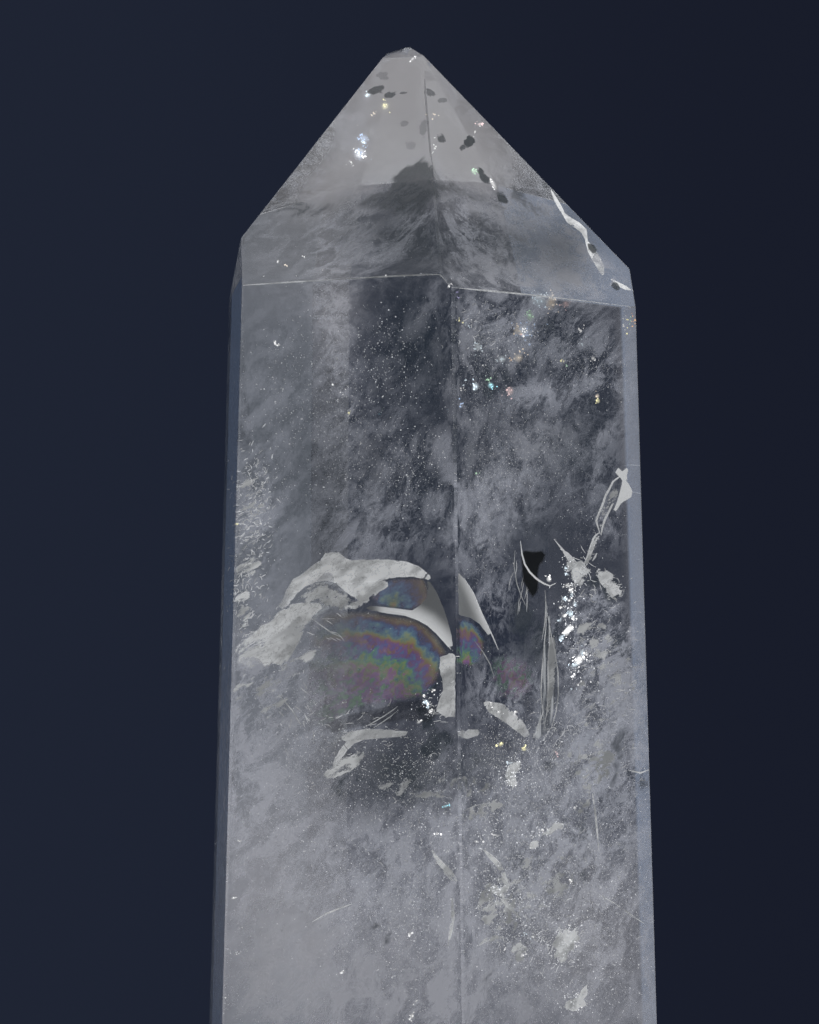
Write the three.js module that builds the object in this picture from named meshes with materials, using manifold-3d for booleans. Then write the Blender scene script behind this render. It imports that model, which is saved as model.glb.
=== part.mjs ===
// A clear quartz tower: one polished stone, a six-sided prism that narrows upwards
// and ends in a six-faced point with a small worn facet at its tip.
// Millimetres, +Z up, the front of the stone towards -Y, origin at the middle of the flat base.
import * as THREE from "three";
import { mergeVertices } from "three/addons/utils/BufferGeometryUtils.js";
import Module from "manifold-3d";

// Driving dimensions. Every face is ground flat, so each is a plane that cuts the rough block.
// azimuth: the way the face looks, in degrees, 0 to the front and 90 to the right.
// lean: how far a side face leans in as it rises, in degrees.
// reach: how far a side face's foot stands from the grinding axis.
const SIDE_FACES = {
  front_left: { azimuth: -24.2, lean: 0.84, reach: 18.04 },
  front_right: { azimuth: 34.3, lean: 1.47, reach: 20.22 },
  right: { azimuth: 94.9, lean: 1.38, reach: 18.56 },
  back_right: { azimuth: 154.4, lean: 1.3, reach: 19.52 },
  back_left: { azimuth: -146.4, lean: 1.18, reach: 17.55 },
  left: { azimuth: -85.3, lean: 1.38, reach: 16.27 },
};
// pitch: how far a point face looks up from the horizon, in degrees.
// crest: how high the face's plane meets the grinding axis.
const POINT_FACES = {
  front_left: { azimuth: -24.6, pitch: 37.86, crest: 104.45 },
  front_right: { azimuth: 35.7, pitch: 37.32, crest: 105.25 },
  right: { azimuth: 90.0, pitch: 42.2, crest: 103.7 },
  back_right: { azimuth: 156.0, pitch: 42.5, crest: 104.85 },
  back_left: { azimuth: -144.0, pitch: 37.5, crest: 105.6 },
  left: { azimuth: -90.9, pitch: 34.79, crest: 106.24 },
  worn_tip: { azimuth: -22.4, pitch: 61.9, crest: 103.4 },
};
const BASE_BEVEL = 0.6; // the base's rim, ground at 45 degrees
const BASE_BEVEL_PITCH = -45;

const ROUGH_WIDTH = 60; // the block that the tower is ground from
const ROUGH_HEIGHT = 120;
const WHEEL_SIZE = 600; // a cutting block that is far larger than the stone every way
const WHEEL_OFFSET = 150; // how far it is slid both ways, so that the diagonal of its face misses the stone

const QUARTZ_COLOUR = 0xc9ccd2;
const QUARTZ_ROUGHNESS = 0.05;
const QUARTZ_OPACITY = 0.5;

const wasm = await Module();
wasm.setup();

// A closed three.js geometry as a solid that can be cut.
function solidOf(geometry) {
  const bare = geometry.clone().deleteAttribute("normal").deleteAttribute("uv");
  const merged = mergeVertices(bare);
  return new wasm.Manifold(
    new wasm.Mesh({
      numProp: 3,
      vertProperties: merged.attributes.position.array,
      triVerts: new Uint32Array(merged.index.array),
    }),
  );
}

// A cut solid as a three.js geometry with flat faces.
function geometryOf(solid) {
  const mesh = solid.getMesh();
  const positions = new THREE.BufferAttribute(new Float32Array(mesh.vertProperties), 3);
  const indexed = new THREE.BufferGeometry()
    .setAttribute("position", positions)
    .setIndex(new THREE.BufferAttribute(new Uint32Array(mesh.triVerts), 1));
  const flat = indexed.toNonIndexed();
  flat.computeVertexNormals();
  return flat;
}

// The unit vector that a face looks along, from its azimuth and its pitch in degrees.
function facing(azimuth, pitch) {
  const a = THREE.MathUtils.degToRad(azimuth);
  const p = THREE.MathUtils.degToRad(pitch);
  return new THREE.Vector3(
    Math.sin(a) * Math.cos(p),
    -Math.cos(a) * Math.cos(p),
    Math.sin(p),
  );
}

// Grinds away all of the stone that lies past the plane through point, on the side that normal looks to.
function grind(stone, normal, point) {
  const turn = new THREE.Quaternion().setFromUnitVectors(new THREE.Vector3(0, 0, 1), normal);
  const wheel = new THREE.BoxGeometry(WHEEL_SIZE, WHEEL_SIZE, WHEEL_SIZE)
    .translate(WHEEL_OFFSET, WHEEL_OFFSET, WHEEL_SIZE / 2)
    .applyQuaternion(turn)
    .translate(point.x, point.y, point.z);
  return stone.subtract(solidOf(wheel));
}

function grindSides(stone) {
  for (const { azimuth, lean, reach } of Object.values(SIDE_FACES)) {
    const foot = facing(azimuth, 0).multiplyScalar(reach);
    stone = grind(stone, facing(azimuth, lean), foot);
  }
  return stone;
}

// Each side of the rim starts at the same height, where the side face above it has leaned in a little.
function bevelBase(stone) {
  for (const { azimuth, lean, reach } of Object.values(SIDE_FACES)) {
    const leanedIn = BASE_BEVEL * Math.tan(THREE.MathUtils.degToRad(lean));
    const rim = facing(azimuth, 0).multiplyScalar(reach - leanedIn).setZ(BASE_BEVEL);
    stone = grind(stone, facing(azimuth, BASE_BEVEL_PITCH), rim);
  }
  return stone;
}

function grindPoint(stone) {
  for (const { azimuth, pitch, crest } of Object.values(POINT_FACES)) {
    stone = grind(stone, facing(azimuth, pitch), new THREE.Vector3(0, 0, crest));
  }
  return stone;
}

function towerGeometry() {
  const block = new THREE.BoxGeometry(ROUGH_WIDTH, ROUGH_WIDTH, ROUGH_HEIGHT);
  block.translate(0, 0, ROUGH_HEIGHT / 2);
  const stone = grindPoint(bevelBase(grindSides(solidOf(block))));
  const geometry = geometryOf(stone);
  geometry.computeBoundingBox();
  const middle = geometry.boundingBox.getCenter(new THREE.Vector3());
  return geometry.translate(-middle.x, -middle.y, 0);
}

function quartz() {
  return new THREE.MeshStandardMaterial({
    color: QUARTZ_COLOUR,
    roughness: QUARTZ_ROUGHNESS,
    metalness: 0,
    transparent: true,
    opacity: QUARTZ_OPACITY,
  });
}

const tower = new THREE.Mesh(towerGeometry(), quartz());
tower.name = "quartz_tower";

const part = new THREE.Group();
part.add(tower);

export default part;
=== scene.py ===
"""The looks of a clear quartz tower: the polished stone and what has grown, cracked and clouded inside it.

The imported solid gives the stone's faces. Everything inside the stone is placed as it is seen from the front: a
point is given by its pixel in the camera's view and by how deep it lies behind the face that it is seen
through, and the way that a ray bends at that face gives its place in the stone.
"""

import math

import bmesh
import bpy
import numpy as np
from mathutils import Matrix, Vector, noise
from mathutils.geometry import delaunay_2d_cdt


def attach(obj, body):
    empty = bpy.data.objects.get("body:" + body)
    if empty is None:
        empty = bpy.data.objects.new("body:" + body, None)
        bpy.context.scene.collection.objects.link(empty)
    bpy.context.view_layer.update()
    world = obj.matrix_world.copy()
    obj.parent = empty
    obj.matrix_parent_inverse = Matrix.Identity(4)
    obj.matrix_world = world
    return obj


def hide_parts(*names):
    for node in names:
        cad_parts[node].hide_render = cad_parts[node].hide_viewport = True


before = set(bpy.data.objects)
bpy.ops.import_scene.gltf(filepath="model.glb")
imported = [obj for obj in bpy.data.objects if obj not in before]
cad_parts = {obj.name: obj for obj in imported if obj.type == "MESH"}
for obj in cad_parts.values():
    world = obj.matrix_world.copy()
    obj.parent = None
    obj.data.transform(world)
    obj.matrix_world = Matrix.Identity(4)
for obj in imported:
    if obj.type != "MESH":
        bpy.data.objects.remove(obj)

bl_info = {
    "name": "Clear Quartz Tower",
    "version": (1, 0, 0),
    "blender": (4, 5, 0),
    "location": "View3D > Sidebar > Quartz",
    "description": "Dresses a quartz tower's solid with its polish and with the veils, cracks and sparks inside it",
    "category": "Add Mesh",
}

MM = 0.001
ON_FACE = 0.005 * MM  # nearer than this to a face's plane, a corner is on it
SAME_WAY = 0.9999  # the cosine between two directions that are the same
SAME_PLANE = 0.99999
WELD = 0.002 * MM
STONE_NODE = "quartz_tower"
BODY = "root"
QUARTZ_IOR = 1.544

# The camera, worked out from the stone's corners in its picture.
VIEW_WIDTH = 819
VIEW_HEIGHT = 1024
FOCAL_PX = 5250
CAMERA_DISTANCE = 420 * MM
CAMERA_RISE = math.radians(4.8)  # how far above the horizon it looks
CAMERA_AIM = Vector((-1.47, 0.12, 66.10)) * MM
SENSOR_MM = 36
MIDDLE_PX = (440, 600)  # a pixel near the middle of the stone
INWARD_STEP = 0.01  # share of the way to it that a pixel beside the stone is moved at a time

# The side faces' edges are named by the way that the two faces look: degrees round from the front.
FRONT_RIGHT_FACE = 34.3
RIGHT_FACE = 94.9
ROLL_BEND = 0.45  # share of the rolled edge's width over which the face bends
LONG_EDGE = 20 * MM  # an edge that runs up the stone is longer than this
FLAT = math.radians(0.2)  # faces that meet at less than this are one
CREASE = math.radians(12)  # edges sharper than this are worn


class Sight:
    """The camera and the stone's flat faces: where a pixel's ray runs inside the stone."""

    def __init__(self, node):
        mesh = node.data
        self.planes = []
        for face in mesh.polygons:
            normal = face.normal.copy()
            offset = normal.dot(mesh.vertices[face.vertices[0]].co)
            if not any(normal.dot(n) > SAME_PLANE for n, _ in self.planes):
                self.planes.append((normal, offset))
        self.ahead = Vector((0, math.cos(CAMERA_RISE), math.sin(CAMERA_RISE)))
        self.up = Vector((1, 0, 0)).cross(self.ahead)
        self.eye = CAMERA_AIM - self.ahead * CAMERA_DISTANCE
        self.corners = [vertex.co.copy() for vertex in mesh.vertices]

    def ray(self, px, py):
        """The direction from the camera through a pixel."""
        right = (px - VIEW_WIDTH / 2) / FOCAL_PX
        down = (py - VIEW_HEIGHT / 2) / FOCAL_PX
        return (self.ahead + Vector((1, 0, 0)) * right - self.up * down).normalized()

    def path(self, px, py):
        """A pixel's way into the stone: where it goes in, its direction inside, how far it is to the stone's far
        side, and how far the plane of the next face in sight is from where it goes in."""
        ray = self.ray(px, py)
        near, face, others = -1.0, None, []
        for plane in self.planes:
            towards = ray.dot(plane[0])
            if towards < 0:
                others.append(plane)
                distance = (plane[1] - plane[0].dot(self.eye)) / towards
                if distance > near:
                    near, face = distance, plane
        others.remove(face)
        spot = self.eye + ray * near
        cosine = -ray.dot(face[0])
        bent = math.sqrt(1 - (1 - cosine**2) / QUARTZ_IOR**2)
        way = ray / QUARTZ_IOR + face[0] * (cosine / QUARTZ_IOR - bent)
        leaving = [(normal, offset) for normal, offset in self.planes if normal.dot(way) > 0]
        far = min((offset - normal.dot(spot)) / normal.dot(way) for normal, offset in leaving)
        clear = min(offset - normal.dot(spot) for normal, offset in others)
        return spot, way, far, clear

    def meets(self, px, py):
        """Whether a pixel's ray goes through the stone."""
        spot, _, far, clear = self.path(px, py)
        return min(far, clear) > 0 and self.wall(spot) > -0.001 * MM

    def pixel(self, point):
        """Where a point in space is seen."""
        off = point - self.eye
        scale = FOCAL_PX / off.dot(self.ahead)
        return VIEW_WIDTH / 2 + off.x * scale, VIEW_HEIGHT / 2 - off.dot(self.up) * scale

    def outlines(self):
        """The faces turned to the camera, but for the base's rim, each as a ring of corners in pixels."""
        rings = []
        for normal, offset in self.planes:
            corners = [c for c in self.corners if abs(offset - normal.dot(c)) < WELD]
            if normal.dot(self.eye) > offset and normal.z > -0.1:
                seen = np.unique(np.round([self.pixel(c) for c in corners], 2), axis=0)
                middle = seen.mean(axis=0)
                turn = np.arctan2(*(seen - middle).T)
                rings.append([Vector(corner) for corner in seen[np.argsort(turn)]])
        return rings

    def inside(self, px, py):
        """The pixel itself, or for one beside the stone the first one towards its middle that meets it."""
        while not self.meets(px, py):
            px += INWARD_STEP * (MIDDLE_PX[0] - px)
            py += INWARD_STEP * (MIDDLE_PX[1] - py)
        return px, py

    def wall(self, point):
        """How far inside the nearest face a point is."""
        return min(offset - normal.dot(point) for normal, offset in self.planes)

    def face_towards(self, azimuth):
        """The side face that looks the given number of degrees round from the front: its normal and offset."""
        a = math.radians(azimuth)
        way = Vector((math.sin(a), -math.cos(a), 0))
        return max(self.planes, key=lambda plane: plane[0].dot(way))


sight = Sight(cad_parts[STONE_NODE])


# ---------------------------------------------------------------- shader words


class Term:
    """A shader socket that takes part in Python sums: each operator adds its Math node."""

    def __init__(self, recipe, socket):
        self.recipe, self.socket = recipe, socket

    def __add__(self, other):
        return self.recipe.math("ADD", self, other)

    __radd__ = __add__

    def __sub__(self, other):
        return self.recipe.math("SUBTRACT", self, other)

    def __rsub__(self, other):
        return self.recipe.math("SUBTRACT", other, self)

    def __mul__(self, other):
        return self.recipe.math("MULTIPLY", self, other)

    __rmul__ = __mul__

    def __truediv__(self, other):
        return self.recipe.math("DIVIDE", self, other)


NOISE_SHIFT = 17 * MM


class Recipe:
    """The nodes of one material or of the world. Every node comes from add."""

    def __init__(self, tree):
        self.tree = tree
        tree.nodes.clear()

    def add(self, kind, settings=(), sockets=(), output=0):
        """Adds a node: its settings first, then the values or links of its sockets. Gives one of its outputs."""
        node = self.tree.nodes.new(kind)
        for name, value in dict(settings).items():
            setattr(node, name, value)
        for name, value in dict(sockets).items():
            if isinstance(value, Term):
                self.tree.links.new(value.socket, node.inputs[name])
            else:
                node.inputs[name].default_value = value
        return Term(self, node.outputs[output]) if len(node.outputs) else node

    def math(self, operation, *values):
        return self.add("ShaderNodeMath", {"operation": operation}, dict(enumerate(values)))

    def place(self):
        return self.add("ShaderNodeTexCoord", output="Object")

    def part(self, vector, axis):
        """One of X, Y and Z of a vector."""
        return self.add("ShaderNodeSeparateXYZ", sockets={0: vector}, output=axis)

    def attribute(self, name):
        """A number that the mesh carries at each of its points."""
        return self.add("ShaderNodeAttribute", {"attribute_name": name}, output="Fac")

    def cloud(self, vector, size, detail=3.0, roughness=0.55, warp=0.0, shift=0):
        """Soft 3-D noise, around 0.5, with features about size metres across. shift gives another noise."""
        if shift:
            move = (shift * NOISE_SHIFT,) * 3
            vector = self.add("ShaderNodeVectorMath", {"operation": "ADD"}, {0: vector, 1: move})
        sockets = {"Vector": vector, "Scale": 1 / size, "Detail": detail, "Roughness": roughness, "Distortion": warp}
        return self.add("ShaderNodeTexNoise", sockets=sockets)

    def rise(self, value, start, end):
        """0 below start and 1 above end, with a smooth step between. end may be below start."""
        if start > end:
            return 1.0 - self.rise(value, end, start)
        settings = {"interpolation_type": "SMOOTHSTEP"}
        return self.add("ShaderNodeMapRange", settings, {"Value": value, "From Min": start, "From Max": end})

    def mix(self, factor, first, second):
        """A colour between two colours."""
        return self.add("ShaderNodeMix", {"data_type": "RGBA"}, {0: factor, 6: first, 7: second}, output=2)

    def stretch(self, vector, scale, rotation=(0, 0, 0)):
        """A place for noise whose features are to be drawn out by scale, along the axes of a turned frame."""
        sockets = {"Vector": vector, "Scale": scale, "Rotation": rotation}
        return self.add("ShaderNodeMapping", {"vector_type": "TEXTURE"}, sockets)

    def finish(self, shader, volume=None):
        sockets = {"Surface": shader}
        if volume:
            sockets["Volume"] = volume
        self.add("ShaderNodeOutputMaterial", sockets=sockets)


def new_material(name):
    material = bpy.data.materials.new(name)
    material.use_nodes = True
    material.cycles.emission_sampling = "NONE"
    return material, Recipe(material.node_tree)


def grey(value, warm=0.0):
    """A colour of one brightness. A positive warm leans it to red, a negative one to blue."""
    return (value * (1 + warm), value, value * (1 - warm), 1.0)


# ---------------------------------------------------------------- mesh words


def mesh_object(name, points, faces, numbers):
    """A mesh object at the origin. numbers is what each point carries, by name."""
    mesh = bpy.data.meshes.new(name)
    mesh.from_pydata([tuple(p) for p in points], [], faces)
    for key, values in numbers.items():
        mesh.attributes.new(key, "FLOAT", "POINT").data.foreach_set("value", np.asarray(values, np.float32))
    piece = bpy.data.objects.new(name, mesh)
    bpy.context.scene.collection.objects.link(piece)
    return piece


def smooth(piece):
    piece.data.polygons.foreach_set("use_smooth", [True] * len(piece.data.polygons))


def apply_modifiers(piece):
    """Puts the piece's modifiers into its mesh."""
    graph = bpy.context.evaluated_depsgraph_get()
    mesh = bpy.data.meshes.new_from_object(piece.evaluated_get(graph), depsgraph=graph)
    piece.modifiers.clear()
    piece.data = mesh
    mesh.name = piece.name


def inclusion(piece, material):
    """Finishes something inside the stone. Lamps shine past it onto what lies deeper."""
    piece.data.materials.clear()
    piece.data.materials.append(material)
    piece.visible_shadow = False
    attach(piece, BODY)
    return piece


# ---------------------------------------------------------------- the polished stone


def polish_material(settings):
    """Clear quartz: plain transmission and a little absorption. Lamps shine through it onto what is inside."""
    material, r = new_material("polished_quartz")
    haze = r.cloud(r.place(), 14 * MM, detail=1)
    polish = r.add("ShaderNodeBsdfPrincipled", sockets={
        "Base Color": grey(1.0),
        "Roughness": 0.01 + 0.03 * r.rise(haze, 0.45, 0.8),
        "IOR": QUARTZ_IOR,
        "Transmission Weight": 1.0,
    })
    clear = r.add("ShaderNodeBsdfTransparent")
    shadow = r.add("ShaderNodeLightPath", output="Is Shadow Ray")
    surface = r.add("ShaderNodeMixShader", sockets={0: shadow, 1: polish, 2: clear})
    tint = r.add("ShaderNodeVolumeAbsorption", sockets={
        "Color": settings.stone_tint,
        "Density": settings.stone_density,
    })
    r.finish(surface, tint)
    return material


def slide(point, normal, drop):
    """The move that takes a corner drop below one face while it stays on the other faces that meet there."""
    others = [n for n, offset in sight.planes if abs(offset - n.dot(point)) < ON_FACE and n.dot(normal) < SAME_WAY]
    wish = [-drop] + [0.0] * len(others)
    return Vector(np.linalg.lstsq(np.array([normal, *others]), np.array(wish), rcond=None)[0])


def roll_edge(bm, azimuth, next_azimuth, width, tilt, cuts=5):
    """Tips a side face off towards its edge with the next one: it bends over, then runs on flat at the tilt."""
    normal, offset = sight.face_towards(azimuth)
    next_normal, _ = sight.face_towards(next_azimuth)
    face = max((f for f in bm.faces if f.normal.dot(normal) > SAME_WAY), key=lambda f: f.calc_area())
    along = normal.cross(next_normal).normalized()
    across = along.cross(normal).normalized()
    if across.dot(next_normal) < 0:
        across.negate()
    edge = next(
        e for e in face.edges
        if any(f.normal.dot(next_normal) > SAME_WAY for f in e.link_faces) and e.calc_length() > LONG_EDGE
    )
    start = across.dot(edge.verts[0].co) - width
    bend = width * ROLL_BEND
    for cut in range(cuts + 1):
        faces = [f for f in bm.faces if f.normal.dot(normal) > SAME_WAY]
        geometry = faces + [e for f in faces for e in f.edges] + [v for f in faces for v in f.verts]
        place = across * (start + bend * cut / cuts)
        bmesh.ops.bisect_plane(bm, geom=list(dict.fromkeys(geometry)), plane_co=place, plane_no=across)
    for vert in bm.verts:
        past = across.dot(vert.co) - start
        if abs(normal.dot(vert.co) - offset) < ON_FACE and past > 0:
            curved = min(past, bend)
            drop = math.tan(tilt) * (curved**2 / (2 * bend) + past - curved)
            vert.co += slide(vert.co, normal, drop)


def build_stone(settings):
    """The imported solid, polished: it takes the place of the plain one."""
    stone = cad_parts[STONE_NODE].copy()
    stone.data = stone.data.copy()
    stone.name = stone.data.name = "polished_stone"
    stone.parent = None
    for key in list(stone.keys()):
        del stone[key]
    bpy.context.scene.collection.objects.link(stone)
    bm = bmesh.new()
    bm.from_mesh(stone.data)
    bmesh.ops.remove_doubles(bm, verts=bm.verts, dist=WELD)
    bmesh.ops.dissolve_limit(bm, angle_limit=FLAT, verts=bm.verts, edges=bm.edges)
    bm.normal_update()
    roll_edge(bm, FRONT_RIGHT_FACE, RIGHT_FACE, settings.roll_width, settings.roll_tilt)
    bm.to_mesh(stone.data)
    bm.free()
    smooth(stone)
    bevel = stone.modifiers.new("worn edges", "BEVEL")
    bevel.width = settings.edge_wear
    bevel.segments = 3
    bevel.limit_method = "ANGLE"
    bevel.angle_limit = CREASE
    weigh = stone.modifiers.new("flat faces", "WEIGHTED_NORMAL")
    weigh.weight = 100
    apply_modifiers(stone)
    stone.data.materials.clear()
    stone.data.materials.append(polish_material(settings))
    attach(stone, BODY)
    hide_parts(STONE_NODE)


# ---------------------------------------------------------------- milky veils

VEIL_GRID = 1.5 * MM
VEIL_GAP = 8.4 * MM
VEIL_WAVE = 3.0 * MM
VEIL_SKIN = 0.5 * MM  # what stays clear under the polish
VEIL_FADE = 3.0 * MM  # how deep under the polish a veil is whole
THINNEST_VEIL = 0.06
MILK_COLOUR = (0.482, 0.488, 0.535, 1.0)
STONE_HALF_WIDTH = 24 * MM
STONE_HEIGHT = 104 * MM


def step_up(value, start, end):
    """0 below start and 1 above end, with a smooth step between. end may be below start."""
    share = min(max((value - start) / (end - start), 0), 1)
    return share * share * (3 - 2 * share)


def billow(point, size):
    """Soft noise in space, mostly between -1 and 1."""
    return noise.fractal(point / size, 0.9, 2.1, 3)


def milk_at(point, settings):
    """How milky the stone is at a point: thin wisps above, thick cloud near the base."""
    depth = step_up(point.z, settings.milk_top, 12 * MM)
    mass = billow(point, 15 * MM)
    low = depth * min(max(0.55 + 0.8 * mass, 0.03), 1.4)
    high = settings.wisps * step_up(mass, 0.05, 0.6) * step_up(point.z, 92 * MM, 80 * MM)
    return low + high


def milk_material(settings):
    """Fluid veils: bubbles too small to see, so they show as a pale cloud of changing density."""
    material, r = new_material("milky_veil")
    curl = r.cloud(r.place(), 2.6 * MM, detail=3, roughness=0.75)
    density = r.attribute("milk") * (0.12 + 1.5 * r.rise(curl, 0.36, 0.70))
    veil = r.add("ShaderNodeBsdfPrincipled", sockets={
        "Base Color": MILK_COLOUR,
        "Roughness": 0.9,
        "Specular IOR Level": 0.0,
        "Alpha": r.math("MINIMUM", density * settings.milk, 0.85),
    })
    r.finish(veil)
    return material


VEIL_WAVES = (11 * MM, 15 * MM)  # how long a sheet's waves are, across and upwards
VEIL_DRIFT = 970  # for each metre, so that no two sheets have the same waves


def veil_stack(name, sideways, settings):
    """A row of wavy sheets through the whole stone, seen flat from the front or, sideways, from the right."""
    points, faces, milk = [], [], []
    steps = int(2 * STONE_HALF_WIDTH / VEIL_GRID)
    rises = int(STONE_HEIGHT / VEIL_GRID)
    sheets = int(2 * STONE_HALF_WIDTH / VEIL_GAP)
    for sheet in range(sheets):
        rest = (sheet + 0.5) * VEIL_GAP - STONE_HALF_WIDTH
        index = {}
        for i in range(steps + 1):
            for j in range(rises + 1):
                across = i * VEIL_GRID - STONE_HALF_WIDTH
                height = j * VEIL_GRID
                bend = noise.noise(Vector((across / VEIL_WAVES[0], rest * VEIL_DRIFT, height / VEIL_WAVES[1])))
                place = rest + VEIL_WAVE * bend
                point = Vector((place, across, height)) if sideways else Vector((across, place, height))
                depth = sight.wall(point) - VEIL_SKIN
                if depth > 0:
                    index[i, j] = len(points)
                    points.append(point)
                    milk.append(milk_at(point, settings) * min(depth / VEIL_FADE, 1))
        for i, j in index:
            corners = [(i, j), (i + 1, j), (i + 1, j + 1), (i, j + 1)]
            if all(corner in index for corner in corners):
                face = [index[corner] for corner in corners]
                if max(milk[corner] for corner in face) > THINNEST_VEIL:
                    faces.append(face)
    piece = mesh_object(name, points, faces, {"milk": milk})
    bm = bmesh.new()
    bm.from_mesh(piece.data)
    bmesh.ops.delete(bm, geom=[v for v in bm.verts if not v.link_faces], context="VERTS")
    bm.to_mesh(piece.data)
    bm.free()
    smooth(piece)
    return piece


def build_milk(settings):
    """The veils in the depth of the stone, both ways."""
    material = milk_material(settings)
    inclusion(veil_stack("milky_veils_across", False, settings), material)
    inclusion(veil_stack("milky_veils_along", True, settings), material)


# ---------------------------------------------------------------- sheets inside the stone
#
# Each outline is a ring of corners in view pixels. Depths are in millimetres behind the face that the sheet
# is seen through: at the outline's middle, and how much more for each 100 pixels to the right and down.

EDGE_CAP = 2.4  # how deep a thing may lie near an edge, for each millimetre to the next face's plane
FAR_CAP = 0.8  # and how deep as a share of the way to the stone's far side
LEAST_DEPTH = 0.26 * MM
DEEPEST = 18 * MM
OUTLINE_SEED = 5  # Blender would otherwise give noise_vector another seed each run

noise.seed_set(OUTLINE_SEED)


def rough_outline(corners, step=3.0, jitter=0.6, seed=0.0):
    """The ring of corners with points added along it, each moved a little, so that no edge is straight."""
    ring = []
    for (x0, y0), (x1, y1) in zip(corners, corners[1:] + corners[:1]):
        pieces = max(int(math.hypot(x1 - x0, y1 - y0) / step), 1)
        for piece in range(pieces):
            x = x0 + (x1 - x0) * piece / pieces
            y = y0 + (y1 - y0) * piece / pieces
            move = noise.noise_vector(Vector((x * 0.3, y * 0.3, seed)))
            ring.append(Vector((x + move.x * jitter, y + move.y * jitter)))
    return ring


def is_inside(x, y, ring):
    inside = False
    for a, b in zip(ring, ring[1:] + ring[:1]):
        if (a.y > y) != (b.y > y) and x < (b.x - a.x) * (y - a.y) / (b.y - a.y) + a.x:
            inside = not inside
    return inside


def distance_to_ring(x, y, ring):
    point = Vector((x, y))
    nearest = 1e9
    for a, b in zip(ring, ring[1:] + ring[:1]):
        along = b - a
        share = min(max((point - a).dot(along) / max(along.length_squared, 1e-9), 0), 1)
        nearest = min(nearest, (a + along * share - point).length)
    return nearest


def distance_to_path(x, y, path):
    """The distance from a pixel to an open path of pixels."""
    corners = [Vector(corner) for corner in path]
    return distance_to_ring(x, y, corners + corners[-2:0:-1])


def between(value, table):
    """What a table of pairs gives for a value, on straight lines between its rows."""
    return float(np.interp(value, *zip(*table)))


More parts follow.
